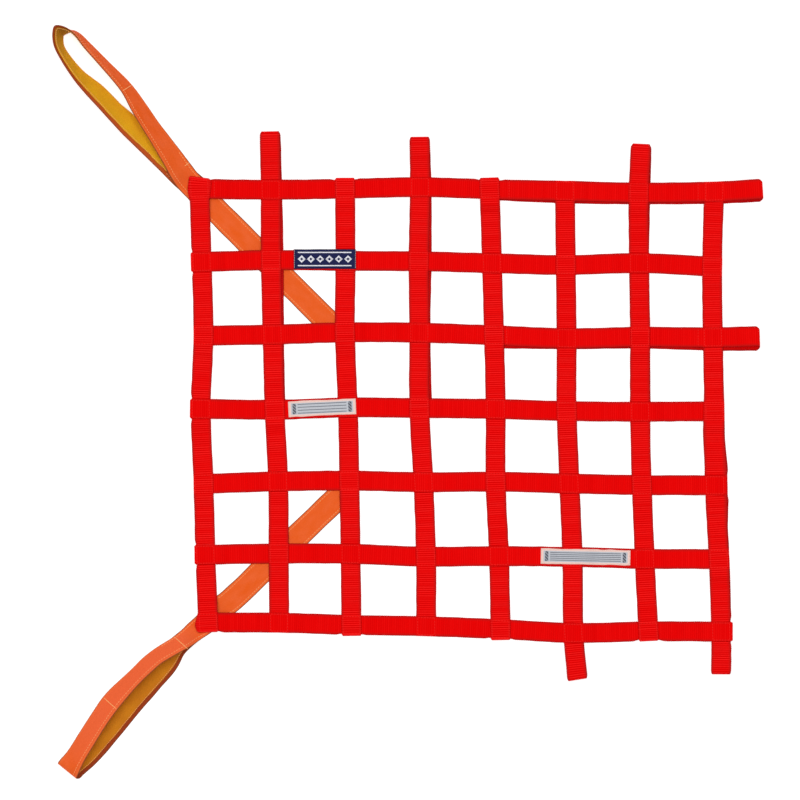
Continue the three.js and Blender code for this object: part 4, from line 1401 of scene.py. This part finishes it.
def dress_seams():
    sew("net_stitches", net_seams(1), RED_THREAD, radius=0.3, bow=0.3)
    sew("net_stitches_behind", net_seams(-1), RED_THREAD, radius=0.3, bow=0.16)


def dress_handle(handle, seed):
    name = handle["name"]
    spine = handle_spine(handle)
    cover = add_object(f"{name}_pull_cover", cover_mesh(handle, spine, seed), ORANGE[name])
    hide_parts(f"{name}_handle_cover")
    lined = lining_spine(handle, spine)
    pile = lining_mesh(handle, lined, seed + 1)
    lining = add_object(f"{name}_pull_lining", pile, OCHRE[name])
    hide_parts(f"{name}_handle_lining")
    sew(f"{name}_cover_stitches", cover_seams(handle, spine), ORANGE_THREAD, 0.26, bow=0.26)
    sew(f"{name}_lining_stitches", lining_seams(handle, lined), PEACH_THREAD, 0.3, bow=0.4)
    sew(f"{name}_cross_stitches", cross_seams(handle, spine), PEACH_THREAD, 0.42, 0.5, 10)


def dress_tags():
    for number, tag in enumerate(TAGS):
        name, half = tag["name"], tag["height"] / 2
        spine = tag_spine(tag)
        length = spine.along[-1]
        woven = name == "woven_tag"
        material = NAVY if woven else pale_material(name.replace("_", " "), length, half, tag["rules"])
        cloth = add_object(name + "_cloth", tag_mesh(tag, spine, 300 + number), material)
        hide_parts(name)
        if woven:
            sew("woven_tag_design", design_seams(spine), WHITE_THREAD, 0.3, 0.28, sides=5)
            sew("woven_tag_whipping", whip_seams(spine, half), NAVY_THREAD, 0.3, 0.3, sides=5)
            sew(name + "_stitches", end_seams(spine, half, 0.5), CREAM_THREAD, 0.2, bow=0.4)
        else:
            sew(name + "_stitches", border_seams(spine, half, 0.9), CREAM_THREAD, 0.18, bow=0.16)


# Stage

FLOOR_HEIGHT = -0.25
FLOOR_REACH = 40000
CAMERA_HEIGHT = 8000
VIEW_WIDTH = 800
VIEW_CENTRE = place(400, 400, 0)
SENSOR = 36
WORLD_STRENGTH = 0.41
LAMP_PLACE = (-0.5, 1.0, 9.8)
LAMP_SIZE = 8
LAMP_POWER = 735


def make_floor():
    mesh = bpy.data.meshes.new("floor")
    ways = ((-1, -1), (1, -1), (1, 1), (-1, 1))
    corners = [(x * FLOOR_REACH * MM, y * FLOOR_REACH * MM, FLOOR_HEIGHT * MM) for x, y in ways]
    mesh.from_pydata(corners, [], [(0, 1, 2, 3)])
    floor = linked("floor", mesh)
    mesh.materials.append(floor_material())


def make_camera():
    data = bpy.data.cameras.new("camera")
    data.sensor_width = SENSOR
    data.lens = SENSOR * CAMERA_HEIGHT / VIEW_WIDTH
    data.clip_end = 100
    camera = linked("camera", data)
    camera.location = (VIEW_CENTRE[0] * MM, VIEW_CENTRE[1] * MM, CAMERA_HEIGHT * MM)
    bpy.context.scene.camera = camera


def make_lamp():
    """A soft square lamp that faces the middle of the net."""
    data = bpy.data.lights.new("soft box", "AREA")
    data.shape = "SQUARE"
    data.size = LAMP_SIZE
    data.energy = LAMP_POWER
    lamp = linked("soft box", data)
    lamp.location = LAMP_PLACE
    lamp.rotation_euler = (-Vector(LAMP_PLACE)).to_track_quat("-Z", "Y").to_euler()


def make_world():
    world = bpy.data.worlds.new("soft white")
    world.use_nodes = True
    background = world.node_tree.nodes["Background"]
    background.inputs["Color"].default_value = (1, 1, 1, 1)
    background.inputs["Strength"].default_value = WORLD_STRENGTH
    bpy.context.scene.world = world


make_camera()
dress_straps()
dress_seams()
for order, pull in enumerate(HANDLES):
    dress_handle(pull, seed=200 + 10 * order)
dress_tags()
make_floor()
make_world()
make_lamp()
bpy.context.scene.view_settings.view_transform = "Standard"
